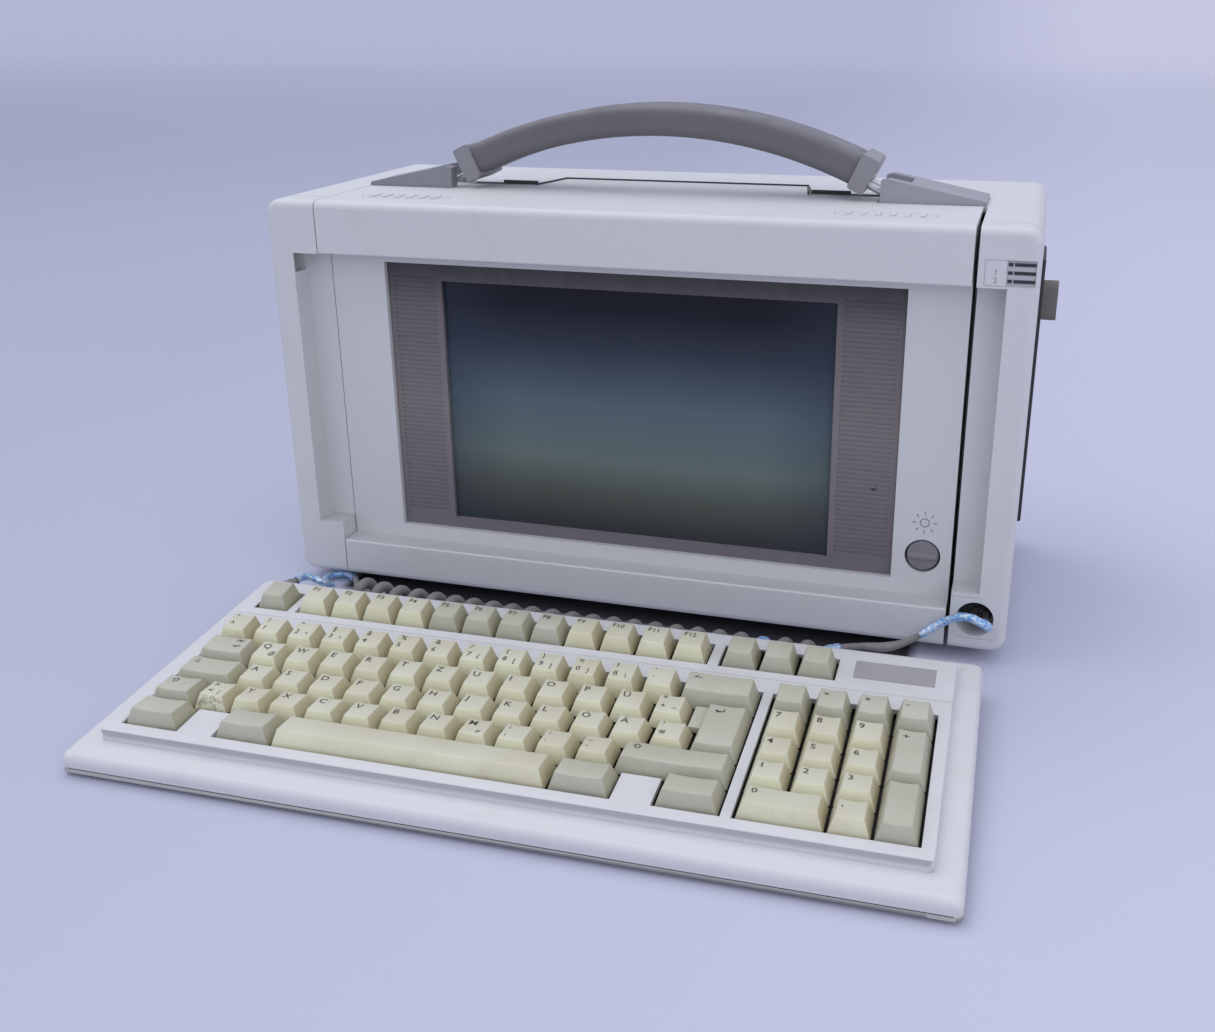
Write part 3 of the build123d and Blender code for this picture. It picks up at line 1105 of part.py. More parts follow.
def gland_mouth(reach=GLAND_LENGTH):
    """Point on the gland's axis, so far out of the keyboard's rear wall."""
    return Vector(*keyboard_rest(Pos(GLAND_X, KEYBOARD_DEPTH + reach, GLAND_H)).position)


def keyboard_lead_route():
    """From the keyboard's gland, in a tight loop under the case's corner, to the coil."""
    mouth = gland_mouth()
    out = gland_mouth(GLAND_LENGTH + 8.0)
    end = coil_end(0, -1)
    heading = coil_tangent(0)
    return [mouth, out, (-183, -24, 14.5), (-175.5, -23, 10.5), (-174.5, -17.5, 5.2),
            (-179.5, -11, 3.2), (-187, -5, 3.1), (-187, 2.5, 3.1), (-181.5, 7.5, 3.1),
            (-174, 5.5, 3.1), (-168, 0, 3.1), end - heading * 8, end]


def case_lead_route():
    """From the coil, up in an arch in front of the right pillar and into its cable hole."""
    end = coil_end(COIL_LAST, 1)
    heading = coil_tangent(COIL_LAST)
    return [end, end + heading * 8, (133, -15, 10), (143, -12.5, 8.5), (155, -9, 12), (166, -6, 20),
            (175, -6, 27), (183, -9.5, 31), (190.5, -11, 29), (195, -7, 24.5), (192.3, 0.5, 21.6),
            (192.3, FRONT_FRAME_DEPTH, 21.6)]


# ------------------------------------------------------------------ all the pieces
parts["front_pillar_left"] = front_pillar(-1)
parts["front_pillar_right"] = front_pillar(1)
parts["rear_shell"] = rear_shell()
parts["base_pan"] = base_pan()
parts["case_feet"] = case_feet()
parts["case_screws"] = case_screws()
parts["status_lights"] = status_lights()
parts["cord_socket"] = block(CABLE_HOLE_X - SOCKET_SIZE / 2, CABLE_HOLE_X + SOCKET_SIZE / 2,
                             FRONT_FRAME_DEPTH, FRONT_FRAME_DEPTH + SOCKET_DEPTH,
                             CABLE_HOLE_Z - SOCKET_SIZE / 2, CABLE_HOLE_Z + SOCKET_SIZE / 2)
parts["chassis_plate"] = chassis_plate()
parts["main_board"] = main_board()
parts["power_supply"] = block(*SUPPLY, INNER_FLOOR + STANDOFF / 2, INNER_FLOOR + STANDOFF / 2 + SUPPLY_HEIGHT)
parts["power_inlet"] = power_inlet()
for port_name, (port_x0, port_x1) in PORTS.items():
    parts[port_name] = port(port_x0, port_x1)
parts["hard_drive"] = block(*HARD_DRIVE, HARD_DRIVE_SHELF_Z + CHASSIS_SHEET,
                            HARD_DRIVE_SHELF_Z + CHASSIS_SHEET + HARD_DRIVE_HEIGHT)
parts["fan_frame"] = fan_frame()
parts["fan_rotor"] = fan_rotor()
parts["floppy_drive"] = floppy_drive()
parts["floppy_lever"] = floppy_lever()
parts["power_switch"] = power_switch()
parts["handle_grip"] = handle_grip()
parts["handle_ferrules"] = handle_ferrules()
parts["handle_strap"] = handle_strap()
parts["handle_links"] = handle_links()
parts["handle_bracket_left"] = handle_bracket(-1)
parts["handle_bracket_right"] = handle_bracket(1)
parts["display_arms"] = display_arms()
parts["display_front"] = display_front()
parts["display_back"] = display_back()
parts["screen_frame"] = screen_frame()
glass_y = BEZEL_BACK + FRAME_SHEET
parts["screen_glass"] = glass_zone(GLASS_LAP, glass_y, glass_y + GLASS_SHEET)
parts["plasma_panel"] = glass_zone(GLASS_LAP + 4, glass_y + GLASS_SHEET, glass_y + GLASS_SHEET + PANEL_DEPTH)
parts["display_board"] = block(DISPLAY_LEFT + 8, DISPLAY_RIGHT - 8, DISPLAY_BOARD_Y,
                               DISPLAY_BOARD_Y + BOARD_SHEET, CASE_BOTTOM + 30, CASE_BOTTOM + 190)
parts["brightness_knob"] = brightness_knob()
parts["release_button_left"] = release_button(RELEASE_X[0])
parts["release_button_right"] = release_button(RELEASE_X[1])

keyboard = {"keyboard_top": keyboard_top(), "keyboard_base": keyboard_base(),
            "key_plate": key_plate(), "keyboard_board": keyboard_board(),
            "keyboard_pads": keyboard_pads(), "keyboard_badge": keyboard_badge(),
            "keyboard_gland": keyboard_gland(),
            "keyboard_foot_left": keyboard_foot(-1), "keyboard_foot_right": keyboard_foot(1),
            "keyboard_latch_left": keyboard_latch(-1), "keyboard_latch_right": keyboard_latch(1)}
for row_name, row_keys in all_keys().items():
    keyboard[row_name] = group([key_cap(*key) for key in row_keys])
for piece_name, piece in keyboard.items():
    parts[piece_name] = keyboard_rest(piece)

parts["cord_coil"] = cord_coil()
parts["cord_keyboard_lead"] = cord_tube("cord_keyboard_lead", keyboard_lead_route())
parts["cord_case_lead"] = cord_tube("cord_case_lead", case_lead_route())

# ------------------------------------------------------------------ origin and export
# The origin is the middle of the footprint of all but the cord, on the table.
CORDS = ("cord_coil", "cord_keyboard_lead", "cord_case_lead")
boxes = [part.bounding_box() for part_name, part in parts.items() if part_name not in CORDS]
ORIGIN_X = (min(box.min.X for box in boxes) + max(box.max.X for box in boxes)) / 2
ORIGIN_Y = (min(box.min.Y for box in boxes) + max(box.max.Y for box in boxes)) / 2
print("origin", round(ORIGIN_X, 4), round(ORIGIN_Y, 4), "lowest", min(box.min.Z for box in boxes))

os.makedirs("parts", exist_ok=True)
for part_name, part in parts.items():
    moved = Pos(-ORIGIN_X, -ORIGIN_Y, 0) * part
    export_step(moved, os.path.join("parts", part_name + ".step"))
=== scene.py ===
from math import atan2, copysign, cos, hypot, pi, radians, sin, sqrt, tan

import bpy
from mathutils import Matrix, Vector, noise


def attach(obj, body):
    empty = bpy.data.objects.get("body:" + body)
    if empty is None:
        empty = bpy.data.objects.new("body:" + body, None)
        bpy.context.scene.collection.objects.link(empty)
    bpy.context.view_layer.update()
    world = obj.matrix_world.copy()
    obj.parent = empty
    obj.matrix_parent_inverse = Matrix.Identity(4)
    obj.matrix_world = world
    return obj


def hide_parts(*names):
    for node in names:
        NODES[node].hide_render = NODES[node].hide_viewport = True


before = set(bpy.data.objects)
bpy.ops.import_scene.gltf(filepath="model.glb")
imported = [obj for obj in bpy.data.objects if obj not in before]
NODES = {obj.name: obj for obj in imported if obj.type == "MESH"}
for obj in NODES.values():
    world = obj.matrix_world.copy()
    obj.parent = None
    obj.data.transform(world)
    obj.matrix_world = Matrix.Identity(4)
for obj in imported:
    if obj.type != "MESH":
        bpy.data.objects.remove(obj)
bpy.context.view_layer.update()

MM = 0.001
IN_PLACE = Matrix.Identity(4)
UPWARDS = (0, 0, 1)

# ---- places
# Lengths below are millimetres in the case's own frame: x from the case's middle,
# y from its front plane, z from the table. The model's origin lies here in it:
ORIGIN_X = 5.25
ORIGIN_Y = -21.8983

KEYBOARD_Y = -216.6
KEYBOARD_Z = 0.580
KEYBOARD_TURN = radians(0.9)
KEYBOARD_TILT = radians(3.0)


def link(piece):
    bpy.context.scene.collection.objects.link(piece)


def at(x, y, z):
    """A place in the case's frame, in the model's metres."""
    return Vector(((x - ORIGIN_X) * MM, (y - ORIGIN_Y) * MM, z * MM))


def keyboard_place():
    """Takes millimetres in the keyboard's frame to the model's metres."""
    turn = Matrix.Rotation(KEYBOARD_TURN, 4, "Z") @ Matrix.Rotation(KEYBOARD_TILT, 4, "X")
    return Matrix.Translation(at(0, KEYBOARD_Y, KEYBOARD_Z)) @ turn @ Matrix.Scale(MM, 4)


CASE_PLACE = Matrix.Translation(at(0, 0, 0)) @ Matrix.Scale(MM, 4)
KEYBOARD_PLACE = keyboard_place()


# ---- camera
LENS_PIXELS = 1284.63
PHOTO_WIDTH, PHOTO_HEIGHT = 1215, 1032
CAMERA_YAW = -0.2873
CAMERA_PITCH = 0.3543
CAMERA_ROLL = -0.0060
CAMERA_PLACE = (198.18, -615.03, 320.62)
PICTURE_MIDDLE = (654.9, 481.87)        # where the lens looks, in the photo's pixels
SENSOR = 36.0


def set_camera():
    look = Vector((sin(CAMERA_YAW) * cos(CAMERA_PITCH),
                   cos(CAMERA_YAW) * cos(CAMERA_PITCH), -sin(CAMERA_PITCH)))
    level = Vector((cos(CAMERA_YAW), -sin(CAMERA_YAW), 0))
    up = level.cross(look)
    right = level * cos(CAMERA_ROLL) + up * sin(CAMERA_ROLL)
    up = up * cos(CAMERA_ROLL) - level * sin(CAMERA_ROLL)
    data = bpy.data.cameras.new("photo_camera")
    data.sensor_width = SENSOR
    data.lens = LENS_PIXELS / PHOTO_WIDTH * SENSOR
    data.shift_x = (PHOTO_WIDTH / 2 - PICTURE_MIDDLE[0]) / PHOTO_WIDTH
    data.shift_y = (PICTURE_MIDDLE[1] - PHOTO_HEIGHT / 2) / PHOTO_WIDTH
    data.clip_end = 50
    camera = bpy.data.objects.new("photo_camera", data)
    link(camera)
    turn = Matrix((right, up, -look)).transposed().to_4x4()
    camera.matrix_world = Matrix.Translation(at(*CAMERA_PLACE)) @ turn
    bpy.context.scene.camera = camera


set_camera()


# ---- materials
class Wire:
    """A socket of the finish being mixed, with maths written as on numbers."""

    def __init__(self, finish, socket):
        self.finish = finish
        self.socket = socket

    def maths(self, operation, *others):
        sockets = dict(enumerate((self, *others)))
        return self.finish.node("ShaderNodeMath", {"operation": operation}, sockets)

    def __add__(self, other): return self.maths("ADD", other)
    def __radd__(self, other): return self.maths("ADD", other)
    def __sub__(self, other): return self.maths("SUBTRACT", other)
    def __mul__(self, other): return self.maths("MULTIPLY", other)
    def __rmul__(self, other): return self.maths("MULTIPLY", other)
    def __gt__(self, other): return self.maths("GREATER_THAN", other)
    def __lt__(self, other): return self.maths("LESS_THAN", other)

    def __rsub__(self, other):
        return self.finish.node("ShaderNodeMath", {"operation": "SUBTRACT"}, {0: other, 1: self})

    def ramp(self, low, high):
        """0 at low, 1 at high, straight between."""
        return self.finish.node("ShaderNodeMapRange", {"clamp": True}, {0: self, 1: low, 2: high})


class Finish:
    """A material being mixed for this computer."""

    def __init__(self, name):
        self.material = bpy.data.materials.new(name)
        self.material.use_nodes = True
        self.tree = self.material.node_tree
        self.shader = next(n for n in self.tree.nodes if n.type == "BSDF_PRINCIPLED")
        self.places = self.tree.nodes.new("ShaderNodeTexCoord")

    def node(self, kind, settings, sockets, output=0):
        made = self.tree.nodes.new(kind)
        for key, value in settings.items():
            if key == "stops":
                self.set_stops(made.color_ramp, value)
            else:
                setattr(made, key, value)
        for key, value in sockets.items():
            self.plug(made.inputs[key], value)
        return Wire(self, made.outputs[output])

    def set_stops(self, colour_ramp, stops):
        while len(colour_ramp.elements) < len(stops):
            colour_ramp.elements.new(0.5)
        for element, (place, colour) in zip(colour_ramp.elements, stops):
            element.position = place
            element.color = (*colour, 1)

    def plug(self, socket, value):
        if isinstance(value, Wire):
            self.tree.links.new(value.socket, socket)
        elif socket.type == "RGBA" and len(value) == 3:
            socket.default_value = (*value, 1)
        else:
            socket.default_value = value

    def place(self):
        return Wire(self, self.places.outputs["Object"])

    def facing(self):
        return Wire(self, self.places.outputs["Normal"])

    def distance(self, x, y, z):
        """From a place in the case's frame, in metres."""
        sockets = {0: self.place(), 1: at(x, y, z)}
        return self.node("ShaderNodeVectorMath", {"operation": "DISTANCE"}, sockets, "Value")

    def split(self, vector):
        made = self.tree.nodes.new("ShaderNodeSeparateXYZ")
        self.plug(made.inputs[0], vector)
        return [Wire(self, socket) for socket in made.outputs]

    def stretched(self, scale):
        return self.node("ShaderNodeMapping", {}, {"Vector": self.place(), "Scale": scale})

    def cloud(self, scale, detail=3.0, roughness=0.5, vector=None):
        return self.node("ShaderNodeTexNoise", {}, {"Vector": vector or self.place(), "Scale": scale,
                                                    "Detail": detail, "Roughness": roughness})

    def cells(self, scale):
        return self.node("ShaderNodeTexVoronoi", {}, {"Vector": self.place(), "Scale": scale})

    def mix(self, share, first, second):
        settings = {"data_type": "RGBA"}
        return self.node("ShaderNodeMix", settings, {0: share, 6: first, 7: second}, 2)

    def ramp_of(self, value, stops):
        return self.node("ShaderNodeValToRGB", {"stops": stops}, {0: value})

    def set(self, socket, value):
        self.plug(self.shader.inputs[socket], value)

    def done(self, colour, roughness, height=None, distance=0.00005, strength=0.4):
        """The material, from its colour, its roughness and the height of its fine relief."""
        self.set("Base Color", colour)
        self.set("Roughness", roughness)
        if height:
            sockets = {"Height": height, "Distance": distance, "Strength": strength}
            self.set("Normal", self.node("ShaderNodeBump", {}, sockets))
        return self.material


# Heights in metres: over STEP_HEIGHT the keyboard's front step gets painted shade; between LEDGE_LOW and
# LEDGE_HIGH the case's ledge faces are darkened.
STEP_HEIGHT = 0.0108                    # the keyboard's front step starts over it
LEDGE_LOW, LEDGE_HIGH = 0.012, 0.045    # the case's ledge lies between them


def moulded_plastic(name, colour, dirt, painted_step_shade=None, ledge_shade=None):
    """Case plastic: fine spark texture, faint tone changes, dirt blotches and scuffs; where asked, painted
    shade on the keyboard's front step, and darker upward faces on the case's ledge.
    """
    finish = Finish(name)
    broad = finish.cloud(9, 4, 0.6)
    fine = finish.cloud(70, 5, 0.65)
    blotches = (broad * 0.55 + fine * 0.45).ramp(0.52, 0.80)
    scuffs = finish.cloud(26, 6, 0.7, finish.stretched((0.35, 1.0, 2.2))).ramp(0.60, 0.72)
    shade = finish.mix(blotches * 0.35, colour, dirt)
    pale = tuple(min(1.0, c * 1.08 + 0.01) for c in colour)
    worn = finish.mix(scuffs * 0.35, shade, pale)
    # Painted shade on the front-facing faces above the keyboard's step.
    if painted_step_shade:
        height = finish.split(finish.place())[2]
        front = (finish.split(finish.facing())[1] * -1.0).ramp(0.75, 0.95)
        worn = finish.mix(front * (height > STEP_HEIGHT), worn, painted_step_shade)
    if ledge_shade:
        height = finish.split(finish.place())[2]
        upwards = finish.split(finish.facing())[2].ramp(0.75, 0.95)
        worn = finish.mix(upwards * (height > LEDGE_LOW) * (height < LEDGE_HIGH), worn, ledge_shade)
    finish.set("IOR", 1.46)
    spark = finish.cloud(2600, 2, 0.5)
    return finish.done(worn, 0.42 + fine * 0.16 - scuffs * 0.06, spark + fine * 0.4, 0.00006, 0.55)


DIRTY_KEY = (-144.5, -175.5, 19.5)      # the front of the key beside the left shift key
FRAME_SPECK = (130.0, 17.1, 85.1)
LIGHT_WINDOW = 0.35                     # how far back the status lights' dark windows reach


def key_plastic(name, colour, tan_and_side_shade, top_grime, front_painted_light=0.0):
    """Key caps: satin tops, handled grime and yellowed tone in random patches, right-facing sides yellowed
    and darkened as painted shade, fronts lightened as painted light where asked, one dirty key front.
    """
    finish = Finish(name)
    x, y, _ = finish.split(finish.facing())
    # Right-facing sides: yellowing and painted shade; fronts: painted light.
    side = x.ramp(0.35, 0.9)
    front = (y * -1.0).ramp(0.3, 0.9)
    blotch = finish.cloud(60, 4, 0.6)
    cap_tone = finish.cloud(38, 0, 0.5)
    tan = finish.mix((side * 0.75 + front * 0.10) * (0.7 + blotch * 0.5), colour, tan_and_side_shade)
    tan = finish.mix(front * front_painted_light, tan, tuple(c * 1.30 for c in colour[:2]) + (colour[2] * 1.18,))
    handled = finish.cloud(120, 5, 0.65).ramp(0.56, 0.78)
    worn = finish.mix(handled * 0.28, tan, top_grime)
    aged = finish.mix(cap_tone.ramp(0.35, 0.65) * 0.25, worn, tan_and_side_shade)
    smudge = finish.distance(*DIRTY_KEY).ramp(0.011, 0.006) * front
    smudge = smudge * finish.cloud(330, 5, 0.7).ramp(0.46, 0.62)
    return finish.done(finish.mix(smudge * 0.8, aged, (0.16, 0.14, 0.10)),
                       0.38 + blotch * 0.2, finish.cloud(2400, 2, 0.5), 0.00005, 0.35)


def grip_rubber():
    """The handle's soft grip: fine pebble, paler in patches on its upward-facing surfaces."""
    finish = Finish("grip_rubber")
    paler_above = finish.split(finish.facing())[2].ramp(0.35, 0.95) * finish.cloud(45, 5, 0.7).ramp(0.35, 0.7)
    patches = finish.cloud(14, 4, 0.6).ramp(0.4, 0.75)
    dull = finish.mix(patches * 0.4, (0.145, 0.140, 0.148), (0.108, 0.102, 0.106))
    return finish.done(finish.mix(paler_above * 0.45, dull, (0.31, 0.30, 0.32)),
                       0.52 - paler_above * 0.12, finish.cells(1500) + finish.cloud(500, 3, 0.6), 0.00007, 0.5)


def plain_plastic(name, colour, roughness=0.45):
    """Small mouldings: fine grain and slight shade changes."""
    finish = Finish(name)
    tone = finish.cloud(40, 4, 0.6)
    darker = tuple(c * 0.82 for c in colour)
    return finish.done(finish.mix(tone.ramp(0.35, 0.75) * 0.6, colour, darker),
                       roughness + tone * 0.12, finish.cloud(900, 3, 0.55))


def ribbed_frame():
    """Grey-purple frame round the screen, graded by height with painted light and shade, darkest at the
    top in the hood's shade; paler on its upward faces, with dust and a stain.
    """
    finish = Finish("ribbed_frame")
    height = finish.split(finish.place())[2].ramp(0.045, 0.195)
    # Painted light and shade by height, darkest at the top under the hood.
    base = finish.ramp_of(height, [(0.0, (0.165, 0.148, 0.165)), (0.45, (0.215, 0.190, 0.190)),
                                   (0.82, (0.150, 0.133, 0.135)), (0.94, (0.052, 0.047, 0.050)),
                                   (1.0, (0.036, 0.033, 0.035))])
    ledge = finish.split(finish.facing())[2].ramp(0.3, 0.9)
    dust = finish.cloud(85, 5, 0.65).ramp(0.45, 0.75)
    dusty = finish.mix(ledge * 0.35 + dust * 0.12, base, (0.30, 0.275, 0.27))
    stain = finish.distance(*FRAME_SPECK).ramp(0.0023, 0.0012) * dust.ramp(0.0, 0.25)
    return finish.done(finish.mix(stain, dusty, (0.030, 0.012, 0.012)),
                       0.46 + dust * 0.2, finish.cloud(1800, 2, 0.5))


def filter_glass():
    """Dark filter glass with a painted reflection: blue above, teal in its middle and brown-green below,
    with painted shade near black at its top and darker at its sides; dust and smears.
    """
    finish = Finish("filter_glass")
    x, _, z = finish.split(finish.place())
    smear = finish.cloud(7, 4, 0.55)
    height = (z + smear * 0.012 - 0.006).ramp(0.046, 0.180)
    painted_reflection = finish.ramp_of(height, [(0.0, (0.040, 0.046, 0.049)), (0.14, (0.085, 0.098, 0.084)),
                                   (0.29, (0.134, 0.178, 0.166)), (0.53, (0.094, 0.138, 0.165)),
                                   (0.76, (0.030, 0.039, 0.060)), (0.92, (0.003, 0.005, 0.014)),
                                   (1.0, (0.001, 0.001, 0.005))])
    # Painted shade towards the glass's two sides.
    across = x.ramp(-0.11, 0.10)
    side = (across - 0.5).maths("ABSOLUTE").ramp(0.34, 0.52)
    shaded = finish.mix(side * 0.45, painted_reflection, (0.026, 0.036, 0.060))
    dust = finish.cells(420).ramp(0.10, 0.03) * finish.cloud(30, 3, 0.6).ramp(0.5, 0.7)
    finish.set("Specular IOR Level", 0.25)
    finish.set("Coat Weight", 0.12)
    finish.set("Coat Roughness", 0.12)
    return finish.done(finish.mix(dust * 0.25, shaded, (0.45, 0.47, 0.48)), 0.30 + smear * 0.16)


def plated_steel():
    """Bright zinc plate with faint rolling lines."""
    finish = Finish("plated_steel")
    lines = finish.cloud(240, 4, 0.7, finish.stretched((0.08, 1.0, 1.0)))
    finish.set("Metallic", 1.0)
    return finish.done(finish.mix(lines.ramp(0.3, 0.7), (0.56, 0.57, 0.58), (0.68, 0.69, 0.70)),
                       0.28 + lines * 0.2, lines, 0.00004, 0.3)


def circuit_board():
    """Green lacquered board with faint tracks and pads."""
    finish = Finish("board_lacquer")
    tracks = finish.node("ShaderNodeTexBrick", {"offset": 0.5},
                         {"Vector": finish.place(), "Scale": 110.0, "Mortar Size": 0.07,
                          "Color1": (0.030, 0.150, 0.060), "Color2": (0.026, 0.125, 0.052),
                          "Mortar": (0.060, 0.230, 0.095)})
    pads = finish.cells(180).ramp(0.16, 0.12)
    return finish.done(finish.mix(pads * 0.7, tracks, (0.55, 0.52, 0.40)), 0.34, pads, 0.00004, 0.4)


def sheath_rubber():
    """Grey-brown cord sheath, a little lighter where it has dried out."""
    finish = Finish("sheath_rubber")
    tone = finish.cloud(90, 4, 0.6)
    dry = finish.cloud(300, 4, 0.7).ramp(0.5, 0.75)
    base = finish.mix(tone.ramp(0.3, 0.7), (0.265, 0.250, 0.235), (0.195, 0.183, 0.172))
    return finish.done(finish.mix(dry * 0.3, base, (0.36, 0.345, 0.33)),
                       0.48 + tone * 0.15, dry + tone, 0.00008, 0.5)


def shield_foil():
    """Crinkled blue and silver shielding foil."""
    finish = Finish("shield_foil")
    crinkle = finish.cells(620)
    patches = finish.cloud(210, 5, 0.65)
    silver = (patches * 0.7 + crinkle * 0.5).ramp(0.50, 0.68)
    finish.set("Metallic", 0.25 + silver * 0.55)
    return finish.done(finish.mix(silver, (0.17, 0.42, 0.78), (0.70, 0.80, 0.90)),
                       0.30 + crinkle * 0.2, crinkle + patches * 0.6, 0.0003, 0.8)


def light_pane():
    """Pane of the three status lights: dark windows standing a little in front of a pale pane."""
    finish = Finish("light_pane")
    depth = finish.split(finish.place())[1]
    window = depth < at(0, LIGHT_WINDOW, 0).y
    soft = finish.cloud(900, 2, 0.5)
    return finish.done(finish.mix(window, (0.500, 0.505, 0.505), (0.028, 0.026, 0.030)),
                       0.28 + soft * 0.1, soft, 0.00003, 0.3)


def printed_ink(name, colour):
    """Thin printed or moulded-in legend colour, slightly worn."""
    finish = Finish(name)
    worn = finish.cloud(700, 3, 0.6).ramp(0.5, 0.8)
    lighter = tuple(min(1.0, c * 1.6 + 0.04) for c in colour)
    return finish.done(finish.mix(worn * 0.5, colour, lighter), 0.55)


KNOB_PLASTIC = plain_plastic("knob_plastic", (0.235, 0.225, 0.245), 0.38)
# Cream caps: the last figure is the painted light on their fronts.
CREAM_CAPS = key_plastic("cream_caps", (0.620, 0.612, 0.470), (0.50, 0.43, 0.25), (0.46, 0.41, 0.29), 0.85)
GREY_CAPS = key_plastic("grey_caps", (0.510, 0.505, 0.400), (0.40, 0.38, 0.25), (0.34, 0.325, 0.25))
PORT_METAL = plain_plastic("port_shell", (0.260, 0.260, 0.270), 0.35)
SOCKET_FACE = plain_plastic("socket_face", (0.060, 0.047, 0.042), 0.5)
SEAM_SHADOW = plain_plastic("seam_shadow", (0.060, 0.060, 0.066), 0.6)
FAINT_SEAM = plain_plastic("faint_seam", (0.330, 0.335, 0.345), 0.5)
SHEATH = sheath_rubber()
FOIL = shield_foil()
LEGEND_INK = printed_ink("legend_ink", (0.045, 0.042, 0.040))
CASE_INK = printed_ink("case_ink", (0.20, 0.20, 0.205))

NODE_FINISHES = {
    moulded_plastic("case_plastic", (0.640, 0.645, 0.640), (0.50, 0.48, 0.43),
                    ledge_shade=(0.530, 0.535, 0.535)):
        "front_pillar_left front_pillar_right rear_shell base_pan display_front display_back "
        "release_button_left release_button_right",
    # Keyboard plastic, with painted shade on its front step.
    moulded_plastic("keyboard_plastic", (0.660, 0.660, 0.660), (0.52, 0.49, 0.43),
                    painted_step_shade=(0.440, 0.446, 0.458)):
        "keyboard_top",
    # Lower shell and feet: their own beige-grey tone, painted darker as shade under the keyboard's upper
    # shell.
    moulded_plastic("base_plastic", (0.500, 0.490, 0.450), (0.38, 0.36, 0.31)):
        "keyboard_base keyboard_foot_left keyboard_foot_right",
    # Left bracket: a darker copy of the bracket plastic, painted shade under the handle.
    plain_plastic("shaded_bracket", (0.268, 0.266, 0.290)): "handle_bracket_left",
    plain_plastic("bracket_plastic", (0.340, 0.338, 0.365)): "handle_bracket_right",
    # Near-black key plate: in the gaps between the keys it gives painted shade.
    plain_plastic("plate_paint", (0.030, 0.028, 0.026), 0.5): "key_plate",
    KNOB_PLASTIC: "brightness_knob",
    plain_plastic("badge_plate", (0.385, 0.372, 0.385), 0.36): "keyboard_badge",
    plain_plastic("black_plastic", (0.022, 0.022, 0.024), 0.42):
        "floppy_drive power_switch power_inlet cord_socket",
    plain_plastic("lever_plastic", (0.190, 0.182, 0.155), 0.45): "floppy_lever",
    plain_plastic("foot_rubber", (0.030, 0.030, 0.030), 0.7): "case_feet keyboard_pads",
    plain_plastic("fan_plastic", (0.035, 0.035, 0.038), 0.5): "fan_frame fan_rotor",
    plain_plastic("ferrule_plastic", (0.272, 0.268, 0.280), 0.34): "handle_ferrules",
    plain_plastic("panel_dark", (0.030, 0.022, 0.026), 0.3): "plasma_panel",
    PORT_METAL: "parallel_port serial_port video_port",
    light_pane(): "status_lights",
    grip_rubber(): "handle_grip",
    ribbed_frame(): "screen_frame",
    filter_glass(): "screen_glass",
    plated_steel():
        "chassis_plate power_supply hard_drive display_arms handle_strap handle_links case_screws "
        "keyboard_latch_left keyboard_latch_right",
    circuit_board(): "display_board main_board keyboard_board",
    SHEATH: "cord_coil cord_keyboard_lead cord_case_lead keyboard_gland",
    CREAM_CAPS: "space_bar keys_function keys_numbers keys_upper keys_home keys_lower keypad_keys",
    GREY_CAPS: "keys_control enter_key",
}


def paint(piece, material):
    piece.data.materials.clear()
    piece.data.materials.append(material)


for material, names in NODE_FINISHES.items():
    for name in names.split():
        paint(NODES[name], material)


# ---- modelling helpers
def deselect():
    if bpy.context.mode != "OBJECT":
        bpy.ops.object.mode_set(mode="OBJECT")
    bpy.ops.object.select_all(action="DESELECT")


def only(piece):
    deselect()
    piece.select_set(True)
    bpy.context.view_layer.objects.active = piece


def edit(piece):
    """Opens a piece's mesh for the edit operators, all of it selected."""
    only(piece)
    bpy.ops.object.mode_set(mode="EDIT")
    bpy.ops.mesh.select_all(action="SELECT")


def close():
    bpy.ops.object.mode_set(mode="OBJECT")


def cut(place, facing, **settings):
    """Cuts the open mesh through along a plane."""
    bpy.ops.mesh.select_all(action="SELECT")
    bpy.ops.mesh.bisect(plane_co=place, plane_no=facing, **settings)


def extrude(move):
    bpy.ops.mesh.extrude_region_move(TRANSFORM_OT_translate={"value": move})


def pick_vertices(piece, wanted):
    """Opens a piece's mesh with those of its vertices selected whose place passes a test."""
    only(piece)
    for vertex in piece.data.vertices:
        vertex.select = bool(wanted(vertex.co))
    for part in [*piece.data.edges, *piece.data.polygons]:
        part.select = all(piece.data.vertices[k].select for k in part.vertices)
    bpy.ops.object.mode_set(mode="EDIT")


def settle(piece, place):
    """Puts a piece's place into its mesh, its object at the origin."""
    piece.data.transform(place @ piece.matrix_world)
    piece.matrix_world = IN_PLACE


def primitive(kind, place=IN_PLACE, **settings):
    """A fresh mesh of a plain kind, of unit size if nothing else is said, put in place."""
    deselect()
    getattr(bpy.ops.mesh, "primitive_" + kind + "_add")(**(settings or {"size": 1}))
    piece = bpy.context.active_object
    piece.data.transform(place)
    return piece


def placed(middle, size):
    """Takes a shape of unit size to its middle and its size."""
    return Matrix.Translation(middle) @ Matrix.Diagonal((*size, 1))


def written(text, size, **settings):
    """A text as a flat mesh, centred on its height."""
    deselect()
    bpy.ops.object.text_add()
    letters = bpy.context.active_object.data
    letters.body, letters.size = text, size
    letters.resolution_u = 2
    letters.align_y = "CENTER"
    for key, value in settings.items():
        setattr(letters, key, value)
    bpy.ops.object.convert(target="MESH")
    return bpy.context.active_object


def copy_of(piece):
    made = piece.copy()
    made.data = piece.data.copy()
    link(made)
    return made


def finish_piece(piece, name, body, material):
    piece.name = name
    piece.data.name = name
    paint(piece, material)
    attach(piece, body)
    return piece


def joined(pieces):
    deselect()
    for piece in pieces:
        piece.select_set(True)
    bpy.context.view_layer.objects.active = pieces[0]
    if len(pieces) > 1:
        bpy.ops.object.join()
    return bpy.context.view_layer.objects.active


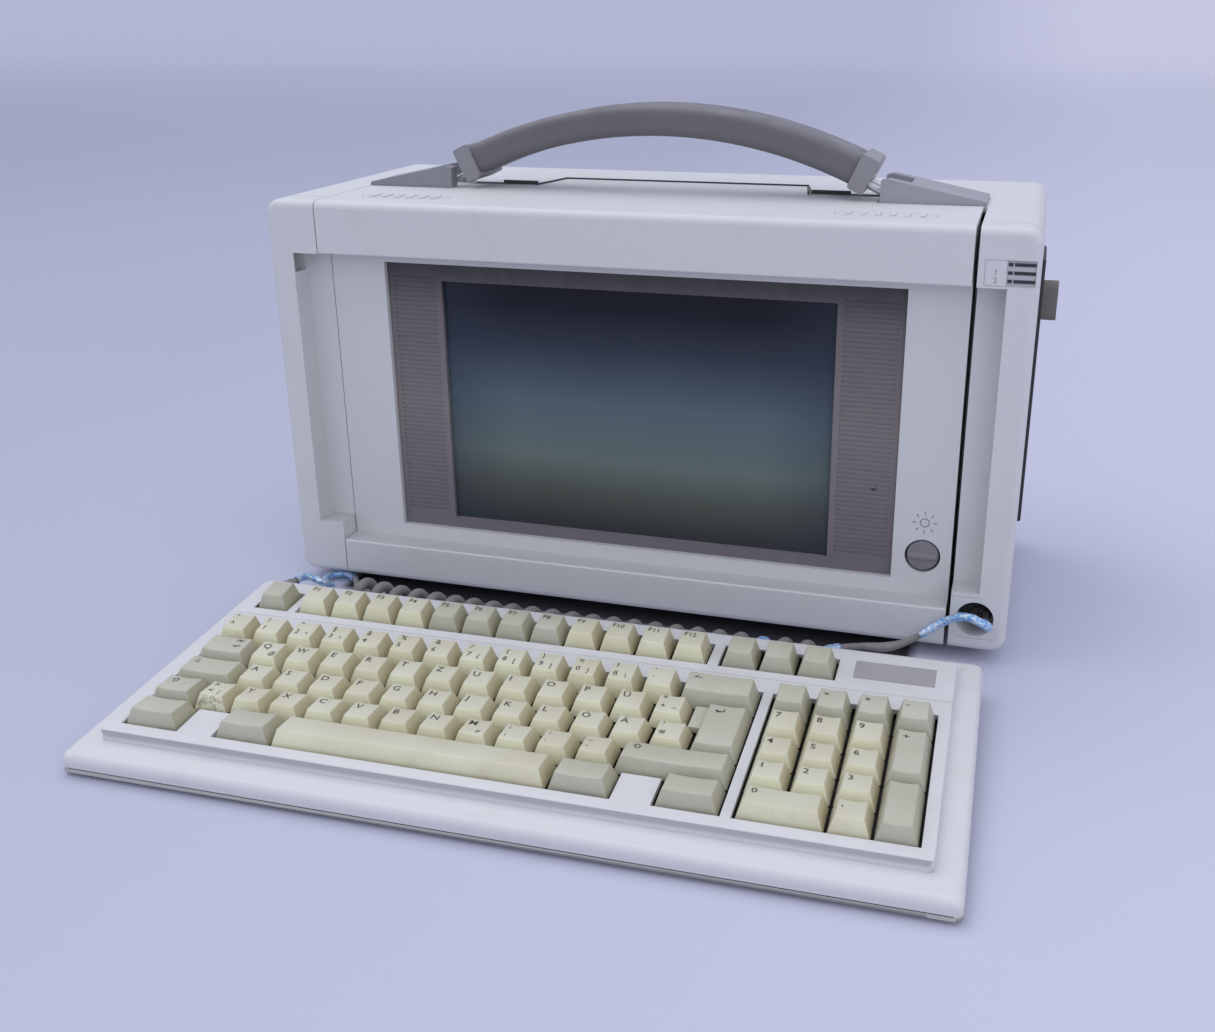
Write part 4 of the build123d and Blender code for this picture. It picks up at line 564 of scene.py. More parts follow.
def add_modifier(piece, kind, **settings):
    only(piece)
    modifier = piece.modifiers.new(kind.lower(), kind)
    for key, value in settings.items():
        setattr(modifier, key, value)
    bpy.ops.object.modifier_apply(modifier=modifier.name)


def bevel(piece, width, segments=2, degrees=35):
    add_modifier(piece, "BEVEL", width=width, segments=segments, limit_method="ANGLE",
                 angle_limit=radians(degrees))


def thicken(piece, thickness):
    """Gives a thin piece its thickness, half of it to each side."""
    add_modifier(piece, "SOLIDIFY", thickness=thickness, offset=0)


def smooth(piece, degrees):
    only(piece)
    bpy.ops.object.shade_smooth_by_angle(angle=radians(degrees))


# ---- the curly cord
CORD_DIAMETER = 5.6
FOIL_DIAMETER = 4.5
COIL_RADIUS = 4.9
COIL_PITCH = 11.6
COIL_TURNS = 24
COIL_LEFT = -156.0
COIL_Y_RIGHT = -28.7
COIL_BOW = 13.6
COIL_HEIGHT = COIL_RADIUS + CORD_DIAMETER / 2 + 0.2
POINTS_PER_TURN = 14
GLAND_MOUTH = (-184.0, 182.5, 5.2)


def coil_middle(x):
    from_right = COIL_LEFT + COIL_TURNS * COIL_PITCH - x
    share = from_right / (COIL_TURNS * COIL_PITCH)
    y = COIL_Y_RIGHT - from_right * tan(KEYBOARD_TURN) + COIL_BOW * share ** 5
    return Vector((x, y, COIL_HEIGHT))


def coil_point(angle, radius=COIL_RADIUS):
    x = COIL_LEFT + COIL_PITCH * angle / (2 * pi)
    return coil_middle(x) + Vector((0, -sin(angle), -cos(angle))) * radius


def cord_route():
    """The cord's points: the keyboard's lead, the curly stretch and the lead into the case."""
    to_metres = KEYBOARD_PLACE @ Vector(GLAND_MOUTH)
    further = KEYBOARD_PLACE @ (Vector(GLAND_MOUTH) + Vector((0, 8, 0)))
    left = [(-183, -24, 14.5), (-175.5, -23, 10.5), (-174.5, -17.5, 5.2), (-179.5, -11, 3.2),
            (-187, -5, 3.1), (-187, 2.5, 3.1), (-181.5, 7.5, 3.1), (-174, 5.5, 3.1), (-168, 0, 3.1)]
    right = [(133, -15, 10), (143, -12.5, 8.5), (155, -9, 12), (166, -6, 20), (175, -6, 27),
             (183, -9.5, 31), (190.5, -11, 29), (195, -7, 24.5), (192.3, 0.5, 21.6), (192.3, 8, 21.6),
             (192.3, 16, 21.6)]
    last = 2 * pi * (COIL_TURNS - 0.5)
    count = int(POINTS_PER_TURN * (COIL_TURNS - 0.5))
    wider = COIL_RADIUS / cos(pi / POINTS_PER_TURN)
    coil = [coil_point(last * k / count, wider) for k in range(count + 1)]
    return [to_metres, further] + [at(*place) for place in left + coil + right]


def nurbs_curve(name, points, thickness):
    data = bpy.data.curves.new(name, "CURVE")
    data.dimensions = "3D"
    spline = data.splines.new("NURBS")
    spline.points.add(len(points) - 1)
    for point, place in zip(spline.points, points):
        point.co = (*place, 1)
    spline.order_u = 3
    spline.use_endpoint_u = True
    spline.resolution_u = 4
    data.bevel_depth = thickness / 2
    data.bevel_resolution = 5
    data.use_fill_caps = True
    piece = bpy.data.objects.new(name, data)
    link(piece)
    return piece


def line_of(points):
    """The smooth line through a route, as points read from its spline."""
    piece = nurbs_curve("route", points, 0)
    bpy.context.view_layer.update()
    mesh = bpy.data.meshes.new_from_object(piece)
    line = [v.co.copy() for v in mesh.vertices]
    bpy.data.objects.remove(piece)
    return line


def foil_sleeve(name, line, diameter, seed):
    """Crinkled foil tube round a stretch of the cord."""
    tube = primitive("cylinder", vertices=14, radius=1, depth=1, end_fill_type="NOTHING")
    edit(tube)
    for k in range(1, len(line) - 1):
        cut((0, 0, -0.5 + k / (len(line) - 1)), UPWARDS)
    close()
    side = Vector((0, 0, 1))
    frames = []
    for k, place in enumerate(line):
        ahead = line[min(k + 1, len(line) - 1)] - line[max(k - 1, 0)]
        ahead.normalize()
        side = (side - ahead * side.dot(ahead)).normalized()
        frames.append((place, side.copy(), ahead.cross(side)))
    for vertex in tube.data.vertices:
        k = min(len(line) - 1, max(0, round((vertex.co.z + 0.5) * (len(line) - 1))))
        angle = atan2(vertex.co.y, vertex.co.x)
        place, one, two = frames[k]
        crumple = noise.noise(Vector((k * 0.55, cos(angle) * 1.7, sin(angle) * 1.7 + seed)))
        wound = 0.5 + 0.5 * sin(angle + k * 0.9)
        radius = diameter / 2 * MM * (0.92 + 0.20 * crumple + 0.08 * wound)
        vertex.co = place + (one * cos(angle) + two * sin(angle)) * radius
    add_modifier(tube, "SOLIDIFY", thickness=0.00012, offset=-1)
    smooth(tube, 50)
    return finish_piece(tube, name, "root", FOIL)


def bared(x, start, end):
    """Two places, in the model's millimetres, round the top of the turn of the coil nearest to x."""
    turn = round((x - COIL_LEFT) / COIL_PITCH - 0.5) * 2 * pi
    return [tuple(at(*coil_point(turn + share * 2 * pi)) / MM) for share in (start, end)]


def nearest(line, x, y, z):
    """Which point of the cord's line lies nearest to a place in the model's millimetres."""
    place = Vector((x, y, z)) * MM
    return min(range(len(line)), key=lambda k: (line[k] - place).length)


# Stretches where the sheath has perished and the foil shows: a name and the two ends of each.
BARED = [("foil_right", tuple(at(161, -7.3, 16) / MM), tuple(at(192.3, 6, 21.6) / MM)),
         ("foil_left", tuple(at(-184, -33, 15.2) / MM), tuple(at(-169, 0.8, 3.1) / MM)),
         ("foil_coil", *bared(82.0, 0.30, 0.80)), ("foil_turn", *bared(116.0, 0.40, 0.68))]


def make_cord():
    points = cord_route()
    cord = nurbs_curve("curly_cord", points, CORD_DIAMETER * MM)
    core = FOIL_DIAMETER / CORD_DIAMETER * 0.72
    line = line_of(points)
    lengths = [(foil, [nearest(line, *end) for end in ends]) for foil, *ends in BARED]
    for point in cord.data.splines[0].points:
        place = nearest(line, *(point.co.to_3d() / MM))
        if any(first - 3 <= place <= last + 3 for foil, (first, last) in lengths):
            point.radius = core
    finish_piece(cord, "curly_cord", "root", SHEATH)
    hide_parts("cord_coil", "cord_keyboard_lead", "cord_case_lead")
    sleeves = []
    for seed, (foil, (first, last)) in enumerate(lengths):
        stretch = thinned(line[first:last + 1], 0.0012)
        sleeves.append(foil_sleeve(foil, stretch, FOIL_DIAMETER, 3.1 + 5.6 * seed))
    sleeves + [NODES["keyboard_gland"]]


def thinned(line, step):
    """Points of a line that lie a step or more apart."""
    kept = [line[0]]
    for place in line[1:]:
        if (place - kept[-1]).length >= step:
            kept.append(place)
    return kept


make_cord()


# ---- keyboard shells
KEYBOARD_SIZE = (400.0, 177.5)
PLAIN_CORNER = 17.0         # of the plain solids
TIGHT_CORNER = 4.5          # as the real flange has them
DECK_HALF, DECK_FRONT = 184.3, 17.0
SIDE_MARGIN = 0.78          # share of the plain flange's width that the real one has
FRONT_MARGIN = 0.83
JOINT_HEIGHT = 4.5          # where the keyboard's two shells meet
JOINT_DROP = 0.9            # by which the real joint lies lower
UNDERCUT_HEIGHT = 1.4
UNDERCUT, UNDERCUT_EDGE = 5.0, 6.0
STRAIGHT_SHARE = 0.2        # of a corner's quarter turn, at each of its ends
SEAM_HALF = DECK_HALF + (KEYBOARD_SIZE[0] / 2 - DECK_HALF) * SIDE_MARGIN
SEAM_FRONT = DECK_FRONT * (1 - FRONT_MARGIN)


def tightened(across, deep):
    """Moves a place in a corner's quarter disc out to a corner of the smaller radius."""
    radius = hypot(across, deep)
    share = atan2(deep, across) / (pi / 2)
    straight = PLAIN_CORNER - TIGHT_CORNER
    if share < STRAIGHT_SHARE:
        edge = (PLAIN_CORNER, straight * share / STRAIGHT_SHARE)
    elif share > 1 - STRAIGHT_SHARE:
        edge = (straight * (1 - share) / STRAIGHT_SHARE, PLAIN_CORNER)
    else:
        turn = (share - STRAIGHT_SHARE) / (1 - 2 * STRAIGHT_SHARE) * pi / 2
        edge = (straight + TIGHT_CORNER * cos(turn), straight + TIGHT_CORNER * sin(turn))
    return edge[0] * radius / PLAIN_CORNER, edge[1] * radius / PLAIN_CORNER


def cut_under(shell):
    """Draws the lower shell's bottom edge in, so that the keyboard stands clear of the table's edge."""
    edit(shell)
    cut((0, 0, UNDERCUT_HEIGHT), UPWARDS)
    close()
    for vertex in shell.data.vertices:
        x, d, h = vertex.co
        if h < UNDERCUT_HEIGHT - 0.05:
            if abs(x) > SEAM_HALF - UNDERCUT_EDGE:
                x -= copysign(UNDERCUT, x)
            if d < SEAM_FRONT + UNDERCUT_EDGE:
                d += UNDERCUT
            elif d > KEYBOARD_SIZE[1] - UNDERCUT_EDGE:
                d -= UNDERCUT
            vertex.co = (x, d, h)


def tight_cornered(node, undercut=False):
    """A copy of a keyboard shell whose four corners are as tight as the real ones."""
    shell = copy_of(NODES[node])
    edit(shell)
    bpy.ops.mesh.remove_doubles(threshold=0.000002)
    close()
    shell.data.transform(KEYBOARD_PLACE.inverted())
    half_wide, middle = KEYBOARD_SIZE[0] / 2 - PLAIN_CORNER, KEYBOARD_SIZE[1] / 2
    half_deep = middle - PLAIN_CORNER
    for vertex in shell.data.vertices:
        x, d, h = vertex.co
        side = copysign(1, x)
        across, along = abs(x) - half_wide, abs(d - middle) - half_deep
        if across > 0 and along > 0:
            across, along = tightened(across, along)
            x, d = side * (half_wide + across), middle + copysign(half_deep + along, d - middle)
        if abs(x) > DECK_HALF:
            x = side * (DECK_HALF + (abs(x) - DECK_HALF) * SIDE_MARGIN)
        if d < DECK_FRONT:
            d = DECK_FRONT - (DECK_FRONT - d) * FRONT_MARGIN
        if h < JOINT_HEIGHT + 0.01:
            h *= (JOINT_HEIGHT - JOINT_DROP) / JOINT_HEIGHT
        vertex.co = (x, d, h)
    if undercut:
        cut_under(shell)
    shell.data.transform(KEYBOARD_PLACE)
    smooth(shell, 35)
    add_modifier(shell, "WEIGHTED_NORMAL", keep_sharp=True)
    finish_piece(shell, node + "_cornered", "keyboard", shell.data.materials[0])
    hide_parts(node)


tight_cornered("keyboard_top")
tight_cornered("keyboard_base", undercut=True)


# ---- keys
KEY_PITCH = 18.4
KEY_GAP = 1.0
DECK_HEIGHT = 16.5
SKIRT_BOTTOM = 14.2
SIDE_SLOPE = 3.0
FRONT_SLOPE = 2.8
REAR_SLOPE = 2.2
DISH_DEPTH = 0.6
DISH_COLUMNS = 10
KEYS_LEFT, KEYS_FRONT = -177.0, 24.0
KEYPAD_LEFT = 104.6
FUNCTION_FRONT = 135.0
FUNCTION_LEFT = -153.1
SYSTEM_LEFT = 74.0
ROW_HEIGHT = {"control": 6.6, "lower": 6.2, "home": 5.2, "upper": 5.9, "number": 7.4, "function": 7.0}
ROW_SLOPE = {"control": 1.2, "lower": 1.0, "home": 0.2, "upper": -0.6, "number": -1.4, "function": -1.2}


class Key:
    """One key cap: its place in the keyboard's frame, its size in pitches and its legends."""

    def __init__(self, left, front, width, depth, row, grey=False, marks=()):
        self.width, self.depth, self.row = width, depth, row
        self.grey, self.marks = grey, marks
        self.x0 = left + KEY_GAP / 2 + SIDE_SLOPE
        self.x1 = left + width * KEY_PITCH - KEY_GAP / 2 - SIDE_SLOPE
        self.d0 = front + KEY_GAP / 2 + FRONT_SLOPE
        self.d1 = front + depth * KEY_PITCH - KEY_GAP / 2 - REAR_SLOPE
        self.dished = width <= 3

    def top(self, x, d):
        """Height of the cap's top at a place on it."""
        share = (d - self.d0) / (self.d1 - self.d0)
        height = DECK_HEIGHT + ROW_HEIGHT[self.row] - ROW_SLOPE[self.row] * self.depth * share
        if self.dished:
            half = (self.x1 - self.x0) / 2
            across = (x - self.x0 - half) / half
            height -= DISH_DEPTH * (1 - across * across)
        return height


CAPS = {}


def model_cap(key):
    """A cap of one size and row: a dished top and a flared skirt, its edges rounded."""
    wide, deep = key.x1 - key.x0, key.d1 - key.d0
    cap = primitive("grid", Matrix.Diagonal((wide, deep, 1, 1)),
                    x_subdivisions=DISH_COLUMNS, y_subdivisions=2, size=1)
    height = ROW_HEIGHT[key.row]
    slope = atan2(-ROW_SLOPE[key.row] * key.depth, deep)
    if key.dished:
        for column in range(DISH_COLUMNS + 1):
            across = 2 * column / DISH_COLUMNS - 1
            place = across * wide / 2
            pick_vertices(cap, lambda co: abs(co.x - place) < 1e-3)
            bpy.ops.transform.translate(value=(0, 0, -DISH_DEPTH * (1 - across * across)))
    close()
    cap.data.transform(Matrix.Translation((0, 0, height - ROW_SLOPE[key.row] * key.depth / 2))
                       @ Matrix.Rotation(slope, 4, "X"))
    edit(cap)
    bpy.ops.mesh.region_to_loop()
    drop = (FRONT_SLOPE - REAR_SLOPE) / 2
    extrude((0, -drop, 0))
    bottom = SKIRT_BOTTOM - DECK_HEIGHT
    grow = ((wide + 2 * SIDE_SLOPE) / wide, (deep + FRONT_SLOPE + REAR_SLOPE) / deep, 0)
    bpy.ops.transform.resize(value=grow, center_override=(0, -drop, bottom))
    bpy.ops.mesh.edge_face_add()
    bpy.ops.mesh.select_all(action="SELECT")
    bpy.ops.mesh.normals_make_consistent(inside=False)
    close()
    bevel(cap, 0.55)
    smooth(cap, 40)
    return cap


def place_cap(key):
    kind = (key.width, key.depth, key.row)
    if kind not in CAPS:
        CAPS[kind] = model_cap(key)
    cap = copy_of(CAPS[kind])
    middle = Matrix.Translation(((key.x0 + key.x1) / 2, (key.d0 + key.d1) / 2, DECK_HEIGHT))
    cap.matrix_world = IN_PLACE
    cap.data.transform(KEYBOARD_PLACE @ middle)
    paint(cap, GREY_CAPS if key.grey else CREAM_CAPS)
    return cap


def enter_step():
    """The low step at the left of the tall enter key, under its upper half."""
    x0, front = spot(13.5, 3)
    wide, deep, high = 0.32 * KEY_PITCH, KEY_PITCH - 1.6, 3.4
    middle = (x0 + 0.5 + wide / 2, front + KEY_PITCH / 2, SKIRT_BOTTOM + high / 2)
    step = primitive("cube", placed(middle, (wide, deep, high)))
    pick_vertices(step, lambda co: co.z > SKIRT_BOTTOM + 1)
    bpy.ops.transform.translate(value=(0.4, 0, 0))
    close()
    bevel(step, 0.5)
    smooth(step, 40)
    step.data.transform(KEYBOARD_PLACE)
    paint(step, GREY_CAPS)
    return step


def legend(key, text, across, along, size):
    """One printed sign lying on a cap's dished top; across and along run 0 to 1 over the top."""
    sign = written(text, size, align_x="LEFT", offset=0.06)
    x = key.x0 + across * (key.x1 - key.x0)
    d = key.d0 + along * (key.d1 - key.d0)
    for vertex in sign.data.vertices:
        px, pd = vertex.co.x + x, vertex.co.y + d
        vertex.co = (px, pd, key.top(px, pd) + 0.05)
    sign.data.transform(KEYBOARD_PLACE)
    sign.matrix_world = IN_PLACE
    return sign


def letter(sign, third=None):
    marks = ((sign, 0.12, 0.70, 5.2),)
    return marks + (((third, 0.60, 0.26, 4.0),) if third else ())


def pair(upper, lower, third=None):
    marks = ((upper, 0.14, 0.80, 4.4), (lower, 0.14, 0.34, 4.4))
    return marks + (((third, 0.62, 0.28, 4.0),) if third else ())


def spot(column, line, left=KEYS_LEFT):
    return left + column * KEY_PITCH, KEYS_FRONT + line * KEY_PITCH


def cream(column, line, row, marks):
    return Key(*spot(column, line), 1, 1, row, marks=marks)


def grey(column, line, width, row, *marks):
    return Key(*spot(column, line), width, 1, row, True, marks)


def run(column, line, signs, row, third_on=None, third=None):
    """A stretch of letter keys, one of them with a third sign."""
    return [cream(column + k, line, row, letter(sign, third if sign == third_on else None))
            for k, sign in enumerate(signs)]


def keyboard_keys():
    numbers = [("°", "^"), ("!", "1"), ("\"", "2", "²"), ("§", "3", "³"), ("$", "4"), ("%", "5"),
               ("&", "6"), ("/", "7", "{"), ("(", "8", "["), (")", "9", "]"), ("=", "0", "}"),
               ("?", "ß", "\\"), ("`", "´")]
    stops = [(";", ","), (":", "."), ("_", "-")]
    keys = {
        "keys_numbers": [cream(k, 4, "number", pair(*signs)) for k, signs in enumerate(numbers)],
        "keys_upper": run(1.5, 3, "QWERTZUIOPÜ", "upper", "Q", "@")
        + [cream(12.5, 3, "upper", pair("*", "+", "~"))],
        "keys_home": run(1.75, 2, "ASDFGHJKLÖÄ", "home") + [cream(12.75, 2, "home", pair("'", "#"))],
        "keys_lower": [cream(1.25, 1, "lower", pair(">", "<", "|"))]
        + run(2.25, 1, "YXCVBNM", "lower", "M", "µ")
        + [cream(9.25 + k, 1, "lower", pair(*signs)) for k, signs in enumerate(stops)],
        "keys_control": [grey(13, 4, 2, "number", ("←", 0.08, 0.70, 4.6)),
                         grey(0, 3, 1.5, "upper", ("⇤", 0.64, 0.80, 4.4), ("⇥", 0.64, 0.42, 4.4)),
                         grey(0, 2, 1.75, "home", ("⇩", 0.10, 0.70, 4.6)),
                         grey(0, 1, 1.25, "lower", ("⇧", 0.12, 0.70, 4.6)),
                         grey(12.25, 1, 2.75, "lower", ("⇧", 0.06, 0.70, 4.6))]
        + [grey(column, 0, 1.5, "control") for column in (0, 2.5, 11, 13.5)],
        "space_bar": [Key(*spot(4, 0), 7, 1, "control")],
        "enter_key": [Key(*spot(13.75, 2), 1.25, 2, "home", True, (("↵", 0.16, 0.84, 5.4),))],
    }
    top_row = [(KEYS_LEFT, True, ())]
    for k in range(12):
        top_row.append((FUNCTION_LEFT + k * KEY_PITCH, 4 <= k <= 7, (("F%d" % (k + 1), 0.10, 0.76, 4.2),)))
    top_row += [(SYSTEM_LEFT + k * KEY_PITCH, True, ()) for k in range(3)]
    keys["keys_function"] = [Key(left, FUNCTION_FRONT, 1, 1, "function", *rest) for left, *rest in top_row]
    keys["keypad_keys"] = keypad_keys()
    return keys


def keypad_keys():
    def place(column, line):
        return spot(column, line, KEYPAD_LEFT)

    keys = [Key(*place(k, 4), 1, 1, "number", True, letter(sign) if sign else ())
            for k, sign in enumerate(("", "÷", "×", "-"))]
    for line, row, signs in ((3, "upper", "789"), (2, "home", "456"), (1, "lower", "123")):
        keys += [Key(*place(k, line), 1, 1, row, marks=letter(sign)) for k, sign in enumerate(signs)]
    keys.append(Key(*place(3, 2), 1, 2, "home", True, (("+", 0.16, 0.84, 5.2),)))
    keys.append(Key(*place(3, 0), 1, 2, "control", True))
    keys.append(Key(*place(0, 0), 2, 1, "control", marks=(("0", 0.06, 0.70, 5.2),)))
    keys.append(Key(*place(2, 0), 1, 1, "control", marks=letter(",")))
    return keys


def make_keys():
    for node, keys in keyboard_keys().items():
        caps = [place_cap(key) for key in keys]
        caps = joined(caps + [enter_step()] if node == "enter_key" else caps)
        caps.name = node.replace("keys_", "caps_").replace("_keys", "_caps") + "_shaped"
        caps.data.name = caps.name
        "grey_keys" if node in ("keys_control", "enter_key") else "cream_keys"
        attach(caps, node + "_body")
        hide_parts(node)
        signs = [legend(key, *mark) for key in keys for mark in key.marks]
        if signs:
            finish_piece(joined(signs), "legends_" + node, node + "_body", LEGEND_INK)
    for cap in CAPS.values():
        bpy.data.objects.remove(cap)


make_keys()


# ---- marks and small parts of the case
FACING_FRONT = Matrix.Rotation(radians(90), 4, "X")      # a flat drawing, stood up to face the front
SUN_MIDDLE = (157.6, 14.05, 69.7)
KNOB_MIDDLE = (157.5, 14.6, 51.0)
SOCKET_MIDDLE = (188.7, 15.4, 20.6)
STATUS_MIDDLE, STATUS_SIZE = (189.1, 203.4), (23.4, 12.4)
NUMBERS_ACROSS = 182.5
CASE_OUTLINE, CASE_CORNER = (406.0, 217.5), 8.0
OUTLINE_MIDDLE = (0, 16.1, 115.75)
ROOF_HEIGHT = 224.4
CURVE_START, CURVE_RADIUS = 199.0, 4.0      # of the front face, near the case's right side


def sun_mark():
    """The brightness sign over the knob: a ring with eight rays, printed in grey."""
    ring = primitive("circle", vertices=28, radius=2.5)
    edit(ring)
    extrude((0, 0, 0))
    bpy.ops.transform.resize(value=(0.80, 0.80, 1))
    close()
    parts = [ring]
    for k in range(8):
        turn = Matrix.Rotation(radians(45 * k), 4, "Z")
        parts.append(primitive("plane", turn @ placed((5.3, 0, 0), (1.9, 0.5, 1))))
    mark = joined(parts)
    settle(mark, CASE_PLACE @ Matrix.Translation(SUN_MIDDLE) @ FACING_FRONT)
    thicken(mark, 0.00008)
    finish_piece(mark, "brightness_sign", "display", CASE_INK)


def front_curve(x):
    """How far the front face has rounded back at a place across."""
    into = max(0.0, x - CURVE_START)
    return CURVE_RADIUS - sqrt(CURVE_RADIUS ** 2 - into * into)


def status_plate():
    """Fine outline round the three status lights, with the numbers of two of them."""
    rim = primitive("plane", placed((*STATUS_MIDDLE, 0), (*STATUS_SIZE, 1)))
    edit(rim)
    bpy.ops.mesh.inset(thickness=0.28)
    bpy.ops.mesh.delete(type="FACE")
    for x in (CURVE_START, CURVE_START + 0.9):
        cut((x, 0, 0), (1, 0, 0))
    close()
    for vertex in rim.data.vertices:
        vertex.co.z = 0.02 - front_curve(vertex.co.x)
    thicken(rim, 0.06)
    settle(rim, CASE_PLACE @ FACING_FRONT)
    finish_piece(rim, "status_outline", "root", FAINT_SEAM)
    signs = []
    for text, height in (("1", 203.7), ("2", 199.8)):
        sign = written(text, 4.0, align_x="CENTER")
        sign.data.transform(Matrix.Translation((NUMBERS_ACROSS, height, 0.04)))
        signs.append(sign)
    plate = joined(signs)
    settle(plate, CASE_PLACE @ FACING_FRONT)
    finish_piece(plate, "status_numbers", "root", CASE_INK)


def brightness_knob():
    """Knob sunk in its round hole: a flat disc with a rounded grip bar across it."""
    disc = primitive("cylinder", Matrix.Translation((0, 0, -1.6)), vertices=72, radius=8.25, depth=2.6)
    bevel(disc, 0.5, 3)
    bar = primitive("cube", placed((0, -0.2, 0.4), (15.6, 4.6, 2.4)))
    pick_vertices(bar, lambda co: co.z > 1.0)
    bpy.ops.transform.resize(value=(0.93, 0.52, 1))
    close()
    bevel(bar, 0.45, 3, 25)
    knob = joined([disc, bar])
    smooth(knob, 40)
    settle(knob, CASE_PLACE @ Matrix.Translation(KNOB_MIDDLE) @ FACING_FRONT)
    finish_piece(knob, "knob_shaped", "knob", KNOB_PLASTIC)
    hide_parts("brightness_knob")


def socket_face():
    """Round connector seen deep in the cable hole, with a ring of contact pins."""
    disc = primitive("cylinder", vertices=40, radius=4.8, depth=1.0)
    pick_vertices(disc, lambda co: co.z > 0.4)
    bpy.ops.mesh.inset(thickness=0.8)
    bpy.ops.transform.translate(value=(0, 0, -0.5))
    close()
    place = CASE_PLACE @ Matrix.Translation(SOCKET_MIDDLE) @ FACING_FRONT
    settle(disc, place)
    finish_piece(disc, "socket_disc", "root", SOCKET_FACE)
    pins = []
    for k in range(6):
        angle = radians(60 * k + 15)
        pin_place = Matrix.Translation((2.5 * cos(angle), 2.5 * sin(angle), 0.4))
        pin = primitive("cylinder", pin_place, vertices=12, radius=0.38, depth=0.9)
        bevel(pin, 0.12)
        pins.append(pin)
    pins = joined(pins)
    settle(pins, place)
    finish_piece(pins, "socket_pins", "root", PORT_METAL)


def rounded_band(size, corner, thickness):
    """Thin band round the outline of a rounded rectangle, standing just clear of it."""
    band = primitive("plane", Matrix.Diagonal((size[0] + 0.05, size[1] + 0.05, 1, 1)))
    edit(band)
    bpy.ops.mesh.bevel(offset=corner, segments=16, affect="VERTICES")
    bpy.ops.mesh.delete(type="ONLY_FACE")
    bpy.ops.mesh.select_all(action="SELECT")
    extrude((0, 0, thickness))
    bpy.ops.mesh.select_all(action="SELECT")
    bpy.ops.mesh.normals_make_consistent(inside=False)
    close()
    return band


def keyboard_seam():
    """Dark joint line between the keyboard's two shells."""
    band = rounded_band((2 * SEAM_HALF, KEYBOARD_SIZE[1] - SEAM_FRONT), TIGHT_CORNER, 0.45)
    thicken(band, 0.04)
    settle(band, KEYBOARD_PLACE @ Matrix.Translation((0, (SEAM_FRONT + KEYBOARD_SIZE[1]) / 2,
                                                         JOINT_HEIGHT - JOINT_DROP - 0.2)))
    finish_piece(band, "keyboard_seam", "keyboard", SEAM_SHADOW)


def case_seams():
    """Faint joint lines where the front frame's pillars meet the rear shell."""
    bands = []
    for side, face in ((-1, 173.5), (1, 174.3)):
        band = rounded_band(CASE_OUTLINE, CASE_CORNER, 0.22)
        edit(band)
        cut((side * face, 0, 0), (-side, 0, 0), clear_outer=True)
        close()
        thicken(band, 0.04)
        bands.append(band)
    seams = joined(bands)
    settle(seams, CASE_PLACE @ Matrix.Translation(OUTLINE_MIDDLE) @ FACING_FRONT)
    finish_piece(seams, "case_seams", "root", FAINT_SEAM)


def hole_plate_lines():
    """Two fine lines over and under the cable hole, the edges of the plate it is cut in."""
    lines = []
    for x0, x1, height in ((174.6, 190.0, 36.9), (178.0, 197.5, 14.3)):
        line = primitive("plane", placed(((x0 + x1) / 2, height, 0.02), (x1 - x0, 0.22, 1)))
        thicken(line, 0.05)
        lines.append(line)
    lines = joined(lines)
    settle(lines, CASE_PLACE @ FACING_FRONT)
    finish_piece(lines, "hole_plate_lines", "root", FAINT_SEAM)


def roof_gap_shades():
    """Dark bands standing in the roof's gap behind the display's top plate: painted shade for the roof's
    shaded edge, deepest at the finger slots.
    """
    bands = []
    for height, points in ((1.0, ((-79.6, 91.4), (-72.8, 120.9), (72.8, 120.9), (79.6, 91.4))),
                           (2.3, ((-101.0, 91.2), (-79.6, 91.2))), (2.3, ((79.6, 91.2), (101.0, 91.2))),
                           (0.7, ((-118.2, 91.2), (-101.0, 91.2))), (0.7, ((101.0, 91.2), (118.2, 91.2)))):
        for (x0, y0), (x1, y1) in zip(points, points[1:]):
            turn = Matrix.Rotation(atan2(y1 - y0, x1 - x0), 4, "Z") @ FACING_FRONT
            stand = Matrix.Translation(((x0 + x1) / 2, (y0 + y1) / 2, ROOF_HEIGHT + height / 2)) @ turn
            size = Matrix.Diagonal((hypot(x1 - x0, y1 - y0), height, 1, 1))
            band = primitive("plane", stand @ size)
            thicken(band, 0.4)
            bands.append(band)
    shades = joined(bands)
    settle(shades, CASE_PLACE)
    finish_piece(shades, "roof_gap_shades", "root", SEAM_SHADOW)


roof_gap_shades()
sun_mark()
status_plate()
brightness_knob()
socket_face()
keyboard_seam()
case_seams()
hole_plate_lines()


# ---- floor and light
# Painted deep shade on the floor under the case, seen by the camera only.
UNDER_CASE = (at(-172, -2, 0), at(154, 160, 0))     # two corners of the deep shade
SHADE_BORDER = 0.006


def soft_strip(x, y, low, high, soft):
    """1 inside a rectangle of the floor and 0 outside it, over a soft border."""
    inside = x.ramp(low.x - soft, low.x) * x.ramp(high.x + soft, high.x)
    return inside * y.ramp(low.y - soft, low.y) * y.ramp(high.y + soft, high.y)


